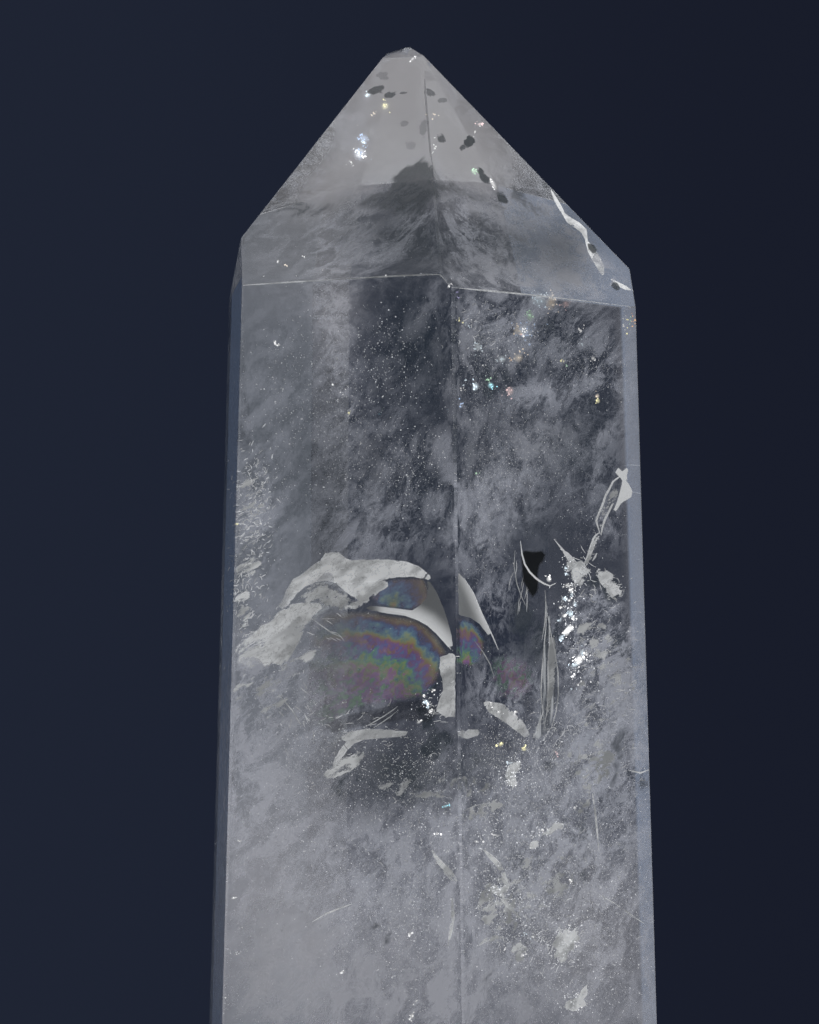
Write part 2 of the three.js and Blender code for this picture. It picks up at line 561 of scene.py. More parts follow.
class Sheets:
    """Collects sheets for one piece: their points, faces and what each point carries."""

    def __init__(self, *numbers):
        self.points, self.faces = [], []
        self.numbers = {name: [] for name in numbers}

    def put(self, px, py, depth, values):
        """Adds a point. Near an edge it lies less deep, inside the stone and out of the next face's sight."""
        spot, way, far, clear = sight.path(*sight.inside(px, py))
        room = 1 / (1 / (EDGE_CAP * clear) + 1 / (FAR_CAP * far))
        depth *= MM
        skin = min(LEAST_DEPTH * (1 + depth / DEEPEST), 0.4 * far)
        self.points.append(spot + way * (skin + depth * room / (depth + room)))
        for name in self.numbers:
            self.numbers[name].append(values[name])
        return len(self.points) - 1

    def sheet(self, corners, depth, lean=(0, 0), ripple=0.5, grid=4.5, jitter=0.6, soften=1.0, **fields):
        """A sheet within an outline. fields give a number at each pixel, or one number.

        rim is how far in from the outline a point is, in pixels, as a share of soften.
        """
        ring = rough_outline(corners, jitter=jitter, seed=depth)
        left, right = min(p.x for p in ring), max(p.x for p in ring)
        top, bottom = min(p.y for p in ring), max(p.y for p in ring)
        middle = ((left + right) / 2, (top + bottom) / 2)
        flat = list(ring)
        for i in range(int((right - left) / grid) + 1):
            for j in range(int((bottom - top) / grid) + 1):
                x = left + (i + 0.5 * (j % 2)) * grid
                y = top + j * grid
                if is_inside(x, y, ring) and distance_to_ring(x, y, ring) > grid * 0.4:
                    flat.append(Vector((x, y)))
        rim = [(i, (i + 1) % len(ring)) for i in range(len(ring))]
        made, _, triangles, *_ = delaunay_2d_cdt(flat, rim, [], 1, 1e-4)
        first = len(self.points)
        for x, y in made:
            wave = ripple * noise.noise(Vector((x / 28, y / 28, depth)))
            deep = depth + lean[0] * (x - middle[0]) / 100 + lean[1] * (y - middle[1]) / 100 + wave
            values = {name: field(x, y) if callable(field) else field for name, field in fields.items()}
            values["rim"] = distance_to_ring(x, y, ring) / soften
            self.put(x, y, deep, values)
        self.faces += [[first + corner for corner in reversed(triangle)] for triangle in triangles]

    def ribbon(self, path, width, depth, **fields):
        """A thin strip along a path of pixels, pointed at both ends."""
        rows = []
        for index, (x, y) in enumerate(path):
            before, after = path[max(index - 1, 0)], path[min(index + 1, len(path) - 1)]
            along = Vector((after[0] - before[0], after[1] - before[1])).normalized()
            share = index / (len(path) - 1)
            half = width / 2 * (0.25 + 0.75 * math.sin(math.pi * share) ** 0.5)
            values = {**fields, "rim": 9.0}
            rows.append([
                self.put(x - along.y * half * side, y + along.x * half * side, depth, values) for side in (-1, 0, 1)
            ])
        for low, high in zip(rows, rows[1:]):
            self.faces += [[low[i], low[i + 1], high[i + 1], high[i]] for i in (0, 1)]

    def spot(self, px, py, width, height, depth, turn=0.0, rings=3, spokes=10, **fields):
        """A soft oval: rim is 1 at its middle and 0 at its edge."""
        c, s = math.cos(math.radians(turn)), math.sin(math.radians(turn))
        middle = self.put(px, py, depth, {**fields, "rim": 1.0})
        before = None
        for ring in range(1, rings + 1):
            share = ring / rings
            row = []
            for spoke in range(spokes):
                a = math.tau * spoke / spokes
                u, v = math.cos(a) * width * share / 2, math.sin(a) * height * share / 2
                wobble = 1 + 0.25 * noise.noise(Vector((px + 3 * math.cos(a), py + 3 * math.sin(a), 1)))
                x, y = px + (u * c - v * s) * wobble, py + (u * s + v * c) * wobble
                row.append(self.put(x, y, depth, {**fields, "rim": 1 - share}))
            for i in range(spokes):
                j = (i + 1) % spokes
                outer = [row[i], row[j]]
                self.faces.append([middle, *outer] if before is None else [before[i], *outer, before[j]])
            before = row

    def shard(self, px, py, size, depth, dice, **fields):
        """A splinter of a few corners, with no two alike."""
        if not sight.meets(px, py):
            return
        corners = dice.integers(3, 6)
        turn, slim = dice.uniform(0, math.tau), dice.uniform(0.35, 1.0)
        row = []
        for corner in range(corners):
            a = math.tau * (corner + dice.uniform(-0.3, 0.3)) / corners
            u, v = math.cos(a) * size / 2, math.sin(a) * slim * size / 2
            x, y = px + u * math.cos(turn) - v * math.sin(turn), py + u * math.sin(turn) + v * math.cos(turn)
            row.append(self.put(x, y, depth, {**fields, "rim": 1.0}))
        self.faces.append(row)

    def swarm(self, px, py, width, height, depth, turn, count, size, dice, **fields):
        """Shards thrown over an oval, densest at its middle."""
        c, s = math.cos(math.radians(turn)), math.sin(math.radians(turn))
        for _ in range(count):
            u, v = dice.normal(0, 0.30, 2) * (width, height)
            self.shard(px + u * c - v * s, py + u * s + v * c, size * dice.uniform(0.5, 1.3), depth, dice, **fields)

    def threads(self, px, py, width, height, depth, turn, count, span, dice, **fields):
        """Short bent strokes thrown over an oval, mostly along one direction."""
        for _ in range(count):
            x, y = px + dice.normal(0, 0.30) * width, py + dice.normal(0, 0.30) * height
            if not sight.meets(x, y):
                continue
            way = math.radians(turn + dice.normal(0, 120 / span))
            bend = dice.normal(0, 1.5 / span)
            stride = span * dice.uniform(0.4, 1.4) / 4
            path = [(x, y)]
            for _ in range(4):
                x, y = x + stride * math.cos(way), y - stride * math.sin(way)
                way += bend
                path.append((x, y))
            share = dice.uniform(0.25, 1.3)
            lit = {name: value * share for name, value in fields.items()}
            self.ribbon(path, THREAD_WIDTH, depth * dice.uniform(0.7, 1.3), **lit)

    def layer(self, outline, depth, step, fields):
        """A wavy sheet behind one of the front faces. fields gives its numbers at a pixel."""
        middle = sum(outline, Vector((0, 0))) / len(outline)
        sides = list(zip(outline, outline[1:] + outline[:1]))
        flat = []
        for a, b in sides:
            pieces = max(int((b - a).length / step), 1)
            flat += [a.lerp(b, piece / pieces) for piece in range(pieces)]
        rim = [(i, (i + 1) % len(flat)) for i in range(len(flat))]
        across = [((b - a).orthogonal().normalized(), a) for a, b in sides]
        across = [(n if n.dot(middle - a) > 0 else -n, a) for n, a in across]
        for i in range(int(VIEW_WIDTH / step)):
            for j in range(int(VIEW_HEIGHT / step) + 2):
                spot = Vector((i * step, j * step))
                if all(n.dot(spot - a) > 0.5 * step for n, a in across):
                    flat.append(spot)
        made, _, triangles, *_ = delaunay_2d_cdt(flat, rim, [], 1, 1e-4)
        first = len(self.points)
        for spot in made:
            px, py = spot + (middle - spot).normalized() * 0.4
            wave = 1 + 0.35 * noise.noise(Vector((px / 60, py / 80, depth)))
            self.put(px, py, depth * wave, fields(px, py))
        self.faces += [[first + corner for corner in reversed(triangle)] for triangle in triangles]

    def piece(self, name, material, lit_from=None):
        """The sheets as one piece. With lit_from, all of it is shaded as if it faced that way, as a cloud is."""
        made = mesh_object(name, self.points, self.faces, self.numbers)
        smooth(made)
        if lit_from:
            made.data.normals_split_custom_set_from_vertices([lit_from] * len(self.points))
        return inclusion(made, material)


# ---------------------------------------------------------------- the healed crack and its silver edge

ARCH_CROWN = [
    (286, 590), (293, 579), (304, 572), (311, 566), (320, 560), (325, 553), (331, 551.5), (339, 552), (346, 558),
    (352, 560), (370, 559), (388, 559), (406, 561), (418, 565), (430, 575), (432, 582), (424, 579), (410, 577),
    (396, 578), (384, 580),
    (375, 586), (366, 596), (358, 600), (350, 596), (343, 590), (336, 584), (328, 581), (316, 582), (306, 587),
    (297, 594), (288, 606), (280, 612), (276, 609), (282, 600),
]
ARCH_PATCH = [
    (345, 585), (356, 582), (371, 582), (386, 580), (391, 585), (380, 592), (372, 599), (366, 604), (356, 609),
    (345, 610), (341, 607), (350, 603), (358, 600), (352, 594),
]
ARCH_CRESCENT = [
    (424, 575), (431, 583), (437, 592), (443, 606), (448, 620), (452, 636), (453.4, 650), (450, 650), (444, 643),
    (436, 634), (427, 626), (416, 620), (404, 616), (388, 614), (372, 611), (362, 607), (372, 605.5), (388, 607),
    (404, 609), (412, 610), (420, 605), (426, 598), (428, 588),
]
ARCH_FOOT = [
    (235, 652), (237, 641), (246, 634), (258, 627), (270, 620), (279, 611), (290, 604), (302, 602), (320, 603),
    (323, 608), (314, 616), (306, 627), (300, 641), (292, 655), (285, 667), (274, 664), (260, 668), (246, 669),
    (237, 664),
]
WINDOW = [
    (370, 598), (378, 586), (390, 579), (410, 577), (424, 577), (429, 588), (430, 598), (424, 606), (412, 611),
    (395, 609), (378, 606),
]
FILM_LEFT = [
    (322, 612), (345, 610), (366, 610), (392, 614), (412, 617), (426, 624), (440, 638), (448, 652), (443, 664),
    (438, 682), (428, 696), (412, 700), (392, 704), (370, 706), (352, 712), (336, 724), (318, 728), (304, 716),
    (302, 690), (306, 660), (312, 634),
]
FILM_TOP = [  # the edge of the crescent that the film's bands follow
    (318, 616), (345, 611), (366, 611), (392, 615), (412, 618), (427, 626), (440, 640), (449, 652),
]
# How wide a film's gap is: how far it is from the edge that it hangs from in pixels, and nanometres.
LEFT_GAPS = [
    (0, 380), (6, 450), (11, 610), (19, 740), (26, 1010), (38, 1110), (48, 1290), (58, 1520), (75, 1640), (110, 1780),
]
RIGHT_GAPS = [(0, 430), (5, 620), (9, 740), (14, 1010), (24, 1100), (32, 1260), (40, 1320), (52, 1560)]
WINDOW_GAPS = [(0, 900), (6, 780), (12, 640), (20, 560), (30, 430)]
FILM_SHADOW = [
    (322, 724), (340, 716), (360, 711), (382, 706), (400, 700), (420, 699), (436, 704), (440, 716), (428, 724),
    (404, 722), (382, 724), (356, 729), (332, 735),
]
FILM_RIGHT = [(457, 616), (470, 620), (479, 627), (485, 636), (485, 650), (480, 662), (470, 668), (457, 664)]
FILM_LOW = [
    (486, 657), (505, 652), (520, 655), (533, 662), (539, 674), (535, 690), (522, 702), (507, 704), (496, 696),
    (488, 680),
]
# Where painted highlights run: the crescent's lower edge and the wing's right edge.
CRESCENT_EDGE = [(388, 610), (404, 612.5), (416, 618), (427, 624), (436, 632), (444, 641), (451, 649.5)]
WING_EDGE = [(464, 578), (473, 592.5), (482, 614), (492.5, 636), (498.5, 650)]
ARCH_VEIL = [
    (288, 607), (297, 595), (306, 588), (316, 583), (328, 582), (340, 589), (350, 597), (358, 601), (353, 608),
    (340, 611), (320, 604), (300, 603),
]
WING = [
    (456.5, 570), (464, 578), (473, 592), (482, 614), (493, 636), (499, 651), (495, 646), (486, 633), (479, 624),
    (470, 618), (457, 615),
]
BLOCK = [
    (440, 657), (446, 655), (452, 651), (455.5, 656), (455.5, 717), (446, 717), (436, 711), (439, 700), (443, 690),
    (442, 680), (439, 668),
]
# Its facets: how far down a slanting line of pixels, and their painted light and shade.
BLOCK_SHADES = [(666, 1.0), (674, 0.55), (686, 0.50), (691, 1.0), (699, 0.95), (702, 0.50), (705, 0.90), (717, 0.75)]
BLOCK_RIGHT = [(457, 652), (459.5, 650), (460.5, 680), (460.5, 717), (457, 717)]
LOWER_BAND = [
    (338, 738), (350, 731.5), (366, 728.5), (384, 729), (402, 731), (417, 731), (410, 735), (396, 737.5),
    (380, 738.5), (364, 740), (354, 744), (348, 750), (342, 758), (338, 766), (334, 771), (331, 768), (335, 757),
    (341, 748), (346, 741.5),
]
LOWER_BAND_RIGHT = [(459, 729), (482, 729), (478, 736), (468, 739), (459, 739)]
RIGHT_BAND = [
    (482, 695), (488, 701), (502, 703), (513, 711), (524, 722), (531, 735), (528, 740), (522, 736), (514, 730),
    (505, 723), (496, 717), (489, 713), (484, 706),
]
COLUMN = [
    (545, 606), (550, 612), (553, 634), (556, 652), (558, 672), (558, 690), (555, 708), (552, 722), (547, 734),
    (538, 740), (532, 738), (537, 724), (540, 712), (541, 700), (539, 688), (540, 670), (543, 650), (544, 628),
]
COLUMN_EDGES = [
    [(547, 606), (546, 626), (544, 648), (542, 670), (541, 692), (543, 712), (538, 730), (532, 739)],
    [(549, 622), (549.5, 644), (548, 668), (548.5, 690), (547, 712), (543, 732)],
    [(547, 612), (551, 634), (555, 652), (558, 672), (558.5, 694), (556, 712), (552, 726), (547, 735)],
]
COLUMN_CORE = [
    (549, 640), (552, 631), (556, 644), (557, 662), (556, 684), (552, 700), (548, 716), (544, 729), (545, 710),
    (547, 690), (547, 662),
]
WEDGE = [
    (520.5, 541), (523, 549), (532, 550), (546, 549), (547, 556), (545, 562), (541, 566), (539, 574), (540, 582),
    (540, 590), (536, 597), (532, 599), (527, 592), (522, 582), (520, 565),
]
WEDGE_LINE = [
    (520.5, 541), (522, 554), (524.7, 564), (529.6, 572), (535.4, 577.8), (538.3, 580.2), (544, 583.6), (550, 586),
    (556, 583),
]
HAIR_CRACKS = [
    [(365, 727), (374, 722), (384, 716), (393, 710), (398, 706)],
    [(372, 729), (381, 723), (390, 717), (397, 711)],
    [(278, 694), (285, 702), (292, 710), (298, 720), (302, 727)],
    [(311, 618), (322, 626), (332, 633), (341, 637)],
    [(515, 550), (514, 566), (517, 584), (522, 598), (526, 606)],
    [(545, 590), (546, 606), (545, 622), (542, 640)],
    [(433, 852), (438, 862), (445, 870), (451, 878), (456, 883)],
    [(330, 572), (344, 568), (358, 571), (370, 568)],
    [(474, 640), (483, 652), (490, 664), (494, 676)],
    [(462, 812), (474, 806), (488, 803), (500, 806)],
]


SILVER_GRAIN = math.radians(65)  # the way that a crack's streaks run, from upright towards the right


def silver_material():
    """The open edge of a crack: nearly all light turns back at it, and that frosted silver is painted reflection."""
    material, r = new_material("silver_crack")
    place = r.place()
    along = r.stretch(place, (1.0, 1.0, 6.0), (0, SILVER_GRAIN, 0))
    streak = r.cloud(along, 0.7 * MM, detail=6, roughness=0.68)
    soft = r.cloud(along, 1.3 * MM, detail=2, roughness=0.5, shift=5)
    line = r.rise(r.math("ABSOLUTE", streak - 0.5), 0.022, 0.0)
    inward = 0.03 * r.math("MINIMUM", r.attribute("rim"), 5.0)
    cover = r.rise(r.attribute("rim"), 0.0, 0.8) * r.rise(streak + inward + r.attribute("cover"), 0.50, 0.57)
    # worn: streaks and fine dark lines that vary the painted reflection. shade: the painted light and shade set for
    # each sheet.
    worn = (0.56 + 0.46 * r.rise(soft, 0.38, 0.58)) * (1.0 - 0.42 * line)
    shade = r.attribute("shade") * (worn + (1.0 - worn) * r.rise(r.attribute("cover"), 0.12, 0.28))
    relief = r.add("ShaderNodeBump", sockets={"Strength": 0.35, "Distance": 0.12 * MM, "Height": soft})
    silver = r.add("ShaderNodeBsdfPrincipled", sockets={
        "Base Color": r.mix(shade, grey(0.06, -0.15), grey(0.94, -0.02)),
        "Roughness": 0.45,
        "Specular IOR Level": 0.4,
        # Painted reflection: the crack glows by emission, though it is no lamp.
        "Emission Color": r.mix(shade, grey(0.01), grey(0.16, -0.02)),
        "Emission Strength": 1.0,
        "Alpha": cover,
        "Normal": relief,
    })
    r.finish(silver)
    return material


RED_WAVE = 610.0  # nanometres
GREEN_WAVE = 540.0
BLUE_WAVE = 460.0


def film_material():
    """A crack so thin that light from its two sides interferes: bands of colour where its gap changes."""
    material, r = new_material("rainbow_crack")
    place = r.place()
    warp = r.cloud(place, 2.4 * MM, detail=3, roughness=0.6)
    along = r.stretch(place, (1.0, 1.0, 2.0), (0, SILVER_GRAIN, 0))
    fine = r.cloud(along, 0.6 * MM, detail=4, roughness=0.65, shift=2)
    path = r.attribute("gap") * (1.0 + 0.9 * (fine - 0.5)) + 420.0 * (warp - 0.5)
    waves = [0.5 - 0.5 * r.math("COSINE", path * (math.tau / wave)) for wave in (RED_WAVE, GREEN_WAVE, BLUE_WAVE)]
    bands = r.add("ShaderNodeCombineColor", sockets=dict(enumerate(waves)))
    pale = r.mix(r.attribute("colour"), grey(0.28, -0.05), bands)
    film = r.add("ShaderNodeBsdfPrincipled", sockets={
        "Base Color": r.mix(0.50, pale, grey(0.27, -0.05)),
        "Roughness": 0.3,
        "Alpha": r.rise(r.attribute("rim"), 0.0, 11.0) * r.attribute("cover") * (0.15 + 1.4 * fine),
    })
    r.finish(film)
    return material


def painted_dark_material():
    """Painted dark where a crack turns the light away and only the dark behind the stone is seen."""
    material, r = new_material("painted_dark_gap")
    smoke = r.cloud(r.place(), 1.2 * MM, detail=4, roughness=0.65)
    gap = r.add("ShaderNodeBsdfPrincipled", sockets={
        "Base Color": grey(0.006, -0.2),
        "Roughness": 0.6,
        "Specular IOR Level": 0.2,
        "Alpha": r.rise(r.attribute("rim") + 5.0 * (smoke - 0.5), 0.0, 3.0) * r.attribute("cover"),
    })
    r.finish(gap)
    return material


def column_material():
    """A crack seen edge on: upright splinters, dark and bright by turns, the bright ones a painted reflection."""
    material, r = new_material("splintered_crack")
    place = r.place()
    splinter = r.cloud(r.stretch(place, (1.0, 1.0, 30.0)), 0.45 * MM, detail=3, roughness=0.6)
    bright = r.rise(splinter, 0.44, 0.56)
    silver = r.add("ShaderNodeBsdfPrincipled", sockets={
        "Base Color": r.mix(bright, grey(0.05, -0.2), grey(0.58, -0.07)),
        "Roughness": 0.35,
        "Emission Color": r.mix(bright, grey(0.0), grey(0.16)),
        "Emission Strength": 1.0,
        "Alpha": r.rise(r.attribute("rim"), 0.0, 2.0) * (0.50 + 0.35 * bright),
    })
    r.finish(silver)
    return material


def build_cracks():
    """The arched crack across the middle of the stone."""
    # Painted light and shade on the crack's sheets: the crescent lighter towards its lower edge, the wing towards its
    # right, the block facet by facet.
    def crescent_shade(x, y):
        return 0.12 + 0.84 * step_up(distance_to_path(x, y, CRESCENT_EDGE), 17, 2)

    def block_shade(x, y):
        return between(y + 0.6 * (x - 448), BLOCK_SHADES)

    def wing_shade(x, y):
        return 0.22 + 0.74 * step_up(x - 0.42 * (y - 572), 452, 466)

    def foot_cover(x, y):
        return 0.06 - 0.14 * step_up(x - 0.5 * (y - 640), 285, 235)

    silver = Sheets("rim", "shade", "cover")
    silver.sheet(ARCH_CROWN, 2.8, (-1.2, 1.5), 0.4, shade=1.0, cover=0.12)
    silver.sheet(ARCH_PATCH, 2.7, (-1.2, 1.5), 0.3, shade=0.95, cover=0.08)
    silver.sheet(ARCH_CRESCENT, 2.6, (-1.5, 2.0), 0.1, grid=3, jitter=0.2, shade=crescent_shade, cover=0.3)
    silver.sheet(ARCH_FOOT, 2.6, (-1.2, 1.5), 0.5, shade=0.9, cover=foot_cover)
    silver.sheet(WING, 1.8, (2.0, 2.0), 0.1, grid=3, jitter=0.2, shade=wing_shade, cover=0.3)
    silver.sheet(BLOCK, 1.4, (0, 1.0), 0.1, grid=2.5, jitter=0.8, soften=0.5, shade=block_shade, cover=0.16)
    silver.sheet(BLOCK_RIGHT, 0.6, (0, 1.0), 0.1, jitter=0.2, soften=0.3, shade=0.7, cover=0.25)
    silver.sheet(ARCH_VEIL, 3.0, (-1.2, 1.5), 0.3, shade=0.6, cover=-0.03)
    # Painted highlights: bright lines along the crescent's lower edge and the wing's right edge.
    silver.ribbon(CRESCENT_EDGE, 1.6, 2.4, shade=1.0, cover=0.3)
    silver.ribbon(WING_EDGE, 1.4, 1.6, shade=1.0, cover=0.3)
    silver.sheet(LOWER_BAND, 2.8, (-1.0, 1.0), 0.4, soften=0.5, shade=0.95, cover=0.12)
    silver.sheet(LOWER_BAND_RIGHT, 2.0, (-2.0, 2.0), 0.2, shade=0.7, cover=0.10)
    silver.sheet(RIGHT_BAND, 2.8, (1.5, 1.5), 0.3, shade=1.0, cover=0.10)
    silver.ribbon(WEDGE_LINE, 2.0, 0.9, shade=1.0, cover=0.3)
    for path in HAIR_CRACKS:
        silver.ribbon(path, 1.1, 1.4, shade=0.7, cover=0.12)
    silver.sheet(COLUMN_CORE, 1.4, (0, 0), 0.1, grid=3, jitter=0.8, soften=0.6, shade=0.55, cover=0.02)
    for path in COLUMN_EDGES:
        silver.ribbon(path, 1.1, 1.3, shade=0.8, cover=0.06)
    silver.piece("silver_crack", silver_material())

    def left_gap(x, y):
        return between(distance_to_path(x, y, FILM_TOP), LEFT_GAPS)

    def left_colour(x, y):
        return 0.12 + 0.26 * step_up(x, 320, 390) + 0.34 * step_up(x, 335, 395) * step_up(y, 690, 645)

    def left_cover(x, y):
        return 0.38 + 0.42 * step_up(x, 300, 355)

    def window_gap(x, y):
        return between(math.hypot(x - 395, y - 602), WINDOW_GAPS)

    def right_gap(x, y):
        return between(y - 616 - 0.02 * (x - 458) ** 2, RIGHT_GAPS)

    def low_gap(x, y):
        return 1800 + 4 * (x - 486) + 5 * (y - 652)

    film = Sheets("rim", "gap", "colour", "cover")
    look = {"gap": left_gap, "colour": left_colour, "cover": left_cover}
    film.sheet(FILM_LEFT, 3.2, (-1.0, 1.0), 0.3, grid=3, soften=0.7, **look)
    film.sheet(WINDOW, 2.9, (-1.0, 1.0), 0.2, grid=3, soften=0.4, gap=window_gap, colour=0.45, cover=0.8)
    film.sheet(FILM_RIGHT, 2.0, (1.0, 1.0), 0.1, grid=3, soften=0.5, gap=right_gap, colour=0.6, cover=0.9)
    film.sheet(FILM_LOW, 2.8, (1.0, 1.0), 0.2, soften=1.5, gap=low_gap, colour=0.35, cover=0.7)
    film.piece("rainbow_crack", film_material())

    # Painted dark: the dark wedge and the dark band under the film.
    dark = Sheets("rim", "cover")
    dark.sheet(WEDGE, 1.1, (0, 0), 0.05, jitter=0.3, cover=1.0)
    dark.sheet(FILM_SHADOW, 3.0, (-1.0, 1.0), 0.2, cover=0.42)
    dark.piece("painted_dark_gap", painted_dark_material())

    column = Sheets("rim")
    column.sheet(COLUMN, 1.5, (0, 0), 0.2)
    column.piece("splintered_crack", column_material())


# ---------------------------------------------------------------- the white needle

SHOULDER_HIGHLIGHTS = [  # painted highlights along the worn edges where the point meets the sides
    [(243.5, 285), (290, 281.8), (345, 279), (400, 276), (436, 274.3), (440, 274.5), (444, 279), (451, 287)],
    [(453, 287.5), (500, 291.5), (560, 298), (630, 306.5)],
]
NEEDLE_HEAD = [
    (615, 473), (616.6, 469), (618.6, 467.5), (620.6, 469), (622.4, 471), (624.2, 469), (626.6, 467), (628, 470),
    (626.6, 475), (627, 480), (623, 482.5), (620, 478),
]
NEEDLE_BLADE = [
    (622.2, 479), (626.4, 479.5), (629.2, 485.4), (632.4, 492), (630.6, 497), (626, 500), (621, 504), (616, 512),
    (612.8, 510), (615.2, 504.8), (618.4, 496.8), (619.8, 490.4), (621.2, 485),
]
NEEDLE_BODY = [
    (618, 477), (614, 480), (609, 488), (605, 496), (601.6, 505), (598.4, 514), (595.6, 523), (596, 532), (591, 541),
    (587.6, 552), (583, 562), (579, 572), (583, 578), (589, 570), (595, 557), (599, 546), (602, 535), (605, 524),
    (610, 513), (615, 503), (619, 493), (621, 484),
]
NEEDLE_STRANDS = [
    [(621, 476), (617, 478.4), (613, 481.6), (609, 489.6), (605.8, 495.2), (602.6, 504.8), (599.4, 512),
     (596.2, 520.8), (597.8, 526.4), (600.2, 534.4)],
    [(613.5, 503), (612.2, 504.8), (609, 511.2), (605, 519.2), (602.2, 528), (601, 535.2)],
    [(600.2, 532), (596, 535), (593.8, 538), (591.4, 544.8), (588.2, 554.4), (585.8, 560.8), (581.8, 571.2)],
    [(599, 536), (595.4, 541), (592, 550), (589.5, 557), (586, 566)],
    [(597, 552.8), (595, 557), (592.5, 561)],
    [(553.9, 539), (562.6, 549.6), (569.4, 557.4), (573, 563), (576.5, 570)],
    [(560, 549), (567, 553), (573, 559), (577, 563)],
    [(563, 552), (569, 560), (574, 568)],
]
SPLASH = [
    (565, 556), (570, 560), (576, 562), (582, 560), (586, 566), (585, 573), (582, 580), (577, 585), (572, 582),
    (570, 574), (567, 566),
]
NEEDLE_LACE = [
    (584, 558), (591, 557), (594, 561), (593, 570), (588, 577), (582, 586), (577, 592), (577, 583), (581, 570),
]
JAGGED = [
    (591, 573.6), (596, 571.5), (598.6, 568), (602, 569), (606, 570), (608.2, 566.5), (609.8, 572), (613.2, 575),
    (613.2, 580.8), (616, 582), (621, 583), (624.4, 589), (624.4, 598), (623.2, 605), (620.4, 600), (616.5, 597),
    (614, 600), (610, 597), (607.5, 592), (603.2, 587), (599.2, 581.5), (595.2, 577.5),
]


# Torn white patches low in the stone: pixel, width, height, depth, turn, shade, cover.
TUFTS = [
    (571, 936, 14, 12, 1.0, 25, 1.0, 0.06), (563, 952, 10, 20, 0.9, 10, 1.0, 0.08),
    (572, 1007, 16, 8, 1.0, -10, 1.0, 0.04), (554, 829, 30, 9, 1.1, -24, 0.9, -0.06),
    (534, 845, 10, 8, 1.0, -20, 1.0, 0.04), (498, 889, 16, 10, 1.0, 0, 0.9, -0.05),
    (512, 776, 12, 22, 1.0, 20, 0.9, -0.05), (516, 766, 12, 14, 1.0, 20, 1.0, -0.02),
    (500, 940, 40, 6, 1.1, -8, 0.8, -0.06), (520, 952, 20, 22, 1.1, 0, 0.8, -0.10),
    (478, 812, 60, 14, 1.2, -20, 0.6, -0.12), (585, 800, 14, 80, 1.2, 10, 0.6, -0.14),
    (595, 760, 60, 50, 1.2, 30, 0.6, -0.16), (505, 905, 60, 60, 1.2, 0, 0.7, -0.15),
    (545, 880, 70, 60, 1.2, 0, 0.6, -0.17), (250, 500, 34, 70, 0.9, 0, 0.9, -0.16),
    (247, 560, 28, 60, 0.9, 0, 0.9, -0.16), (243, 605, 20, 50, 0.9, 0, 0.9, -0.16),
    (262, 690, 60, 70, 1.1, 30, 0.7, -0.19), (300, 665, 60, 30, 1.2, -40, 0.7, -0.18),
    (596, 640, 50, 40, 1.1, 20, 0.7, -0.16), (606, 690, 60, 90, 1.1, 20, 0.6, -0.20),
    (345, 765, 50, 20, 1.1, -30, 0.8, -0.10), (434, 786, 120, 30, 1.2, 0, 0.5, -0.16),
]
RAGGED_TUFTS = [
    [
        (557, 936), (560, 930), (564, 934), (566, 928), (571, 931), (578, 926), (577, 934), (581, 938), (576, 943),
        (574, 951), (568, 952), (567, 959), (561, 964), (559, 957), (554, 959), (556, 950), (552, 944),
    ],
    [
        (565, 1002), (570, 999), (577, 997), (581, 990), (587, 984), (588, 993), (584, 999), (587, 1006),
        (579, 1008), (573, 1012), (566, 1010),
    ],
    [(490, 888), (495, 884), (499, 887), (505, 884), (508, 889), (503, 892), (505, 898), (498, 896), (494, 893)],
    [
        (507, 768), (511, 763), (515, 766), (520, 762), (519, 770), (515, 775), (517, 783), (512, 789), (509, 781),
        (505, 776),
    ],
]
TUFT_STROKES = [
    ([(432, 850), (437, 859), (443, 866), (450, 872), (457, 881)], 5.5),
    ([(443, 865), (445, 873), (452, 881)], 2.2),
    ([(484, 850), (491, 857), (498, 864), (503, 873), (508, 885)], 5.5),
    ([(497, 888), (502, 898), (508, 906), (520, 918)], 4.0),
    ([(478, 946), (486, 940), (496, 937), (506, 938)], 4.0),
    ([(452, 898), (453, 915), (451, 930), (448, 946)], 4.0),
    ([(592, 790), (595, 810), (597, 830), (599, 852)], 2.0),
    ([(628, 770), (640, 773), (652, 771)], 1.8),
    ([(600, 895), (616, 904), (630, 914), (644, 924)], 1.6),
    ([(312, 922), (326, 914), (340, 908), (352, 904)], 1.8),
]


def oval(px, py, width, height, turn, corners=16):
    """A ring of pixels."""
    c, s = math.cos(math.radians(turn)), math.sin(math.radians(turn))
    ring = []
    for corner in range(corners):
        a = math.tau * corner / corners
        u, v = math.cos(a) * width / 2, math.sin(a) * height / 2
        ring.append((px + u * c - v * s, py + u * s + v * c))
    return ring


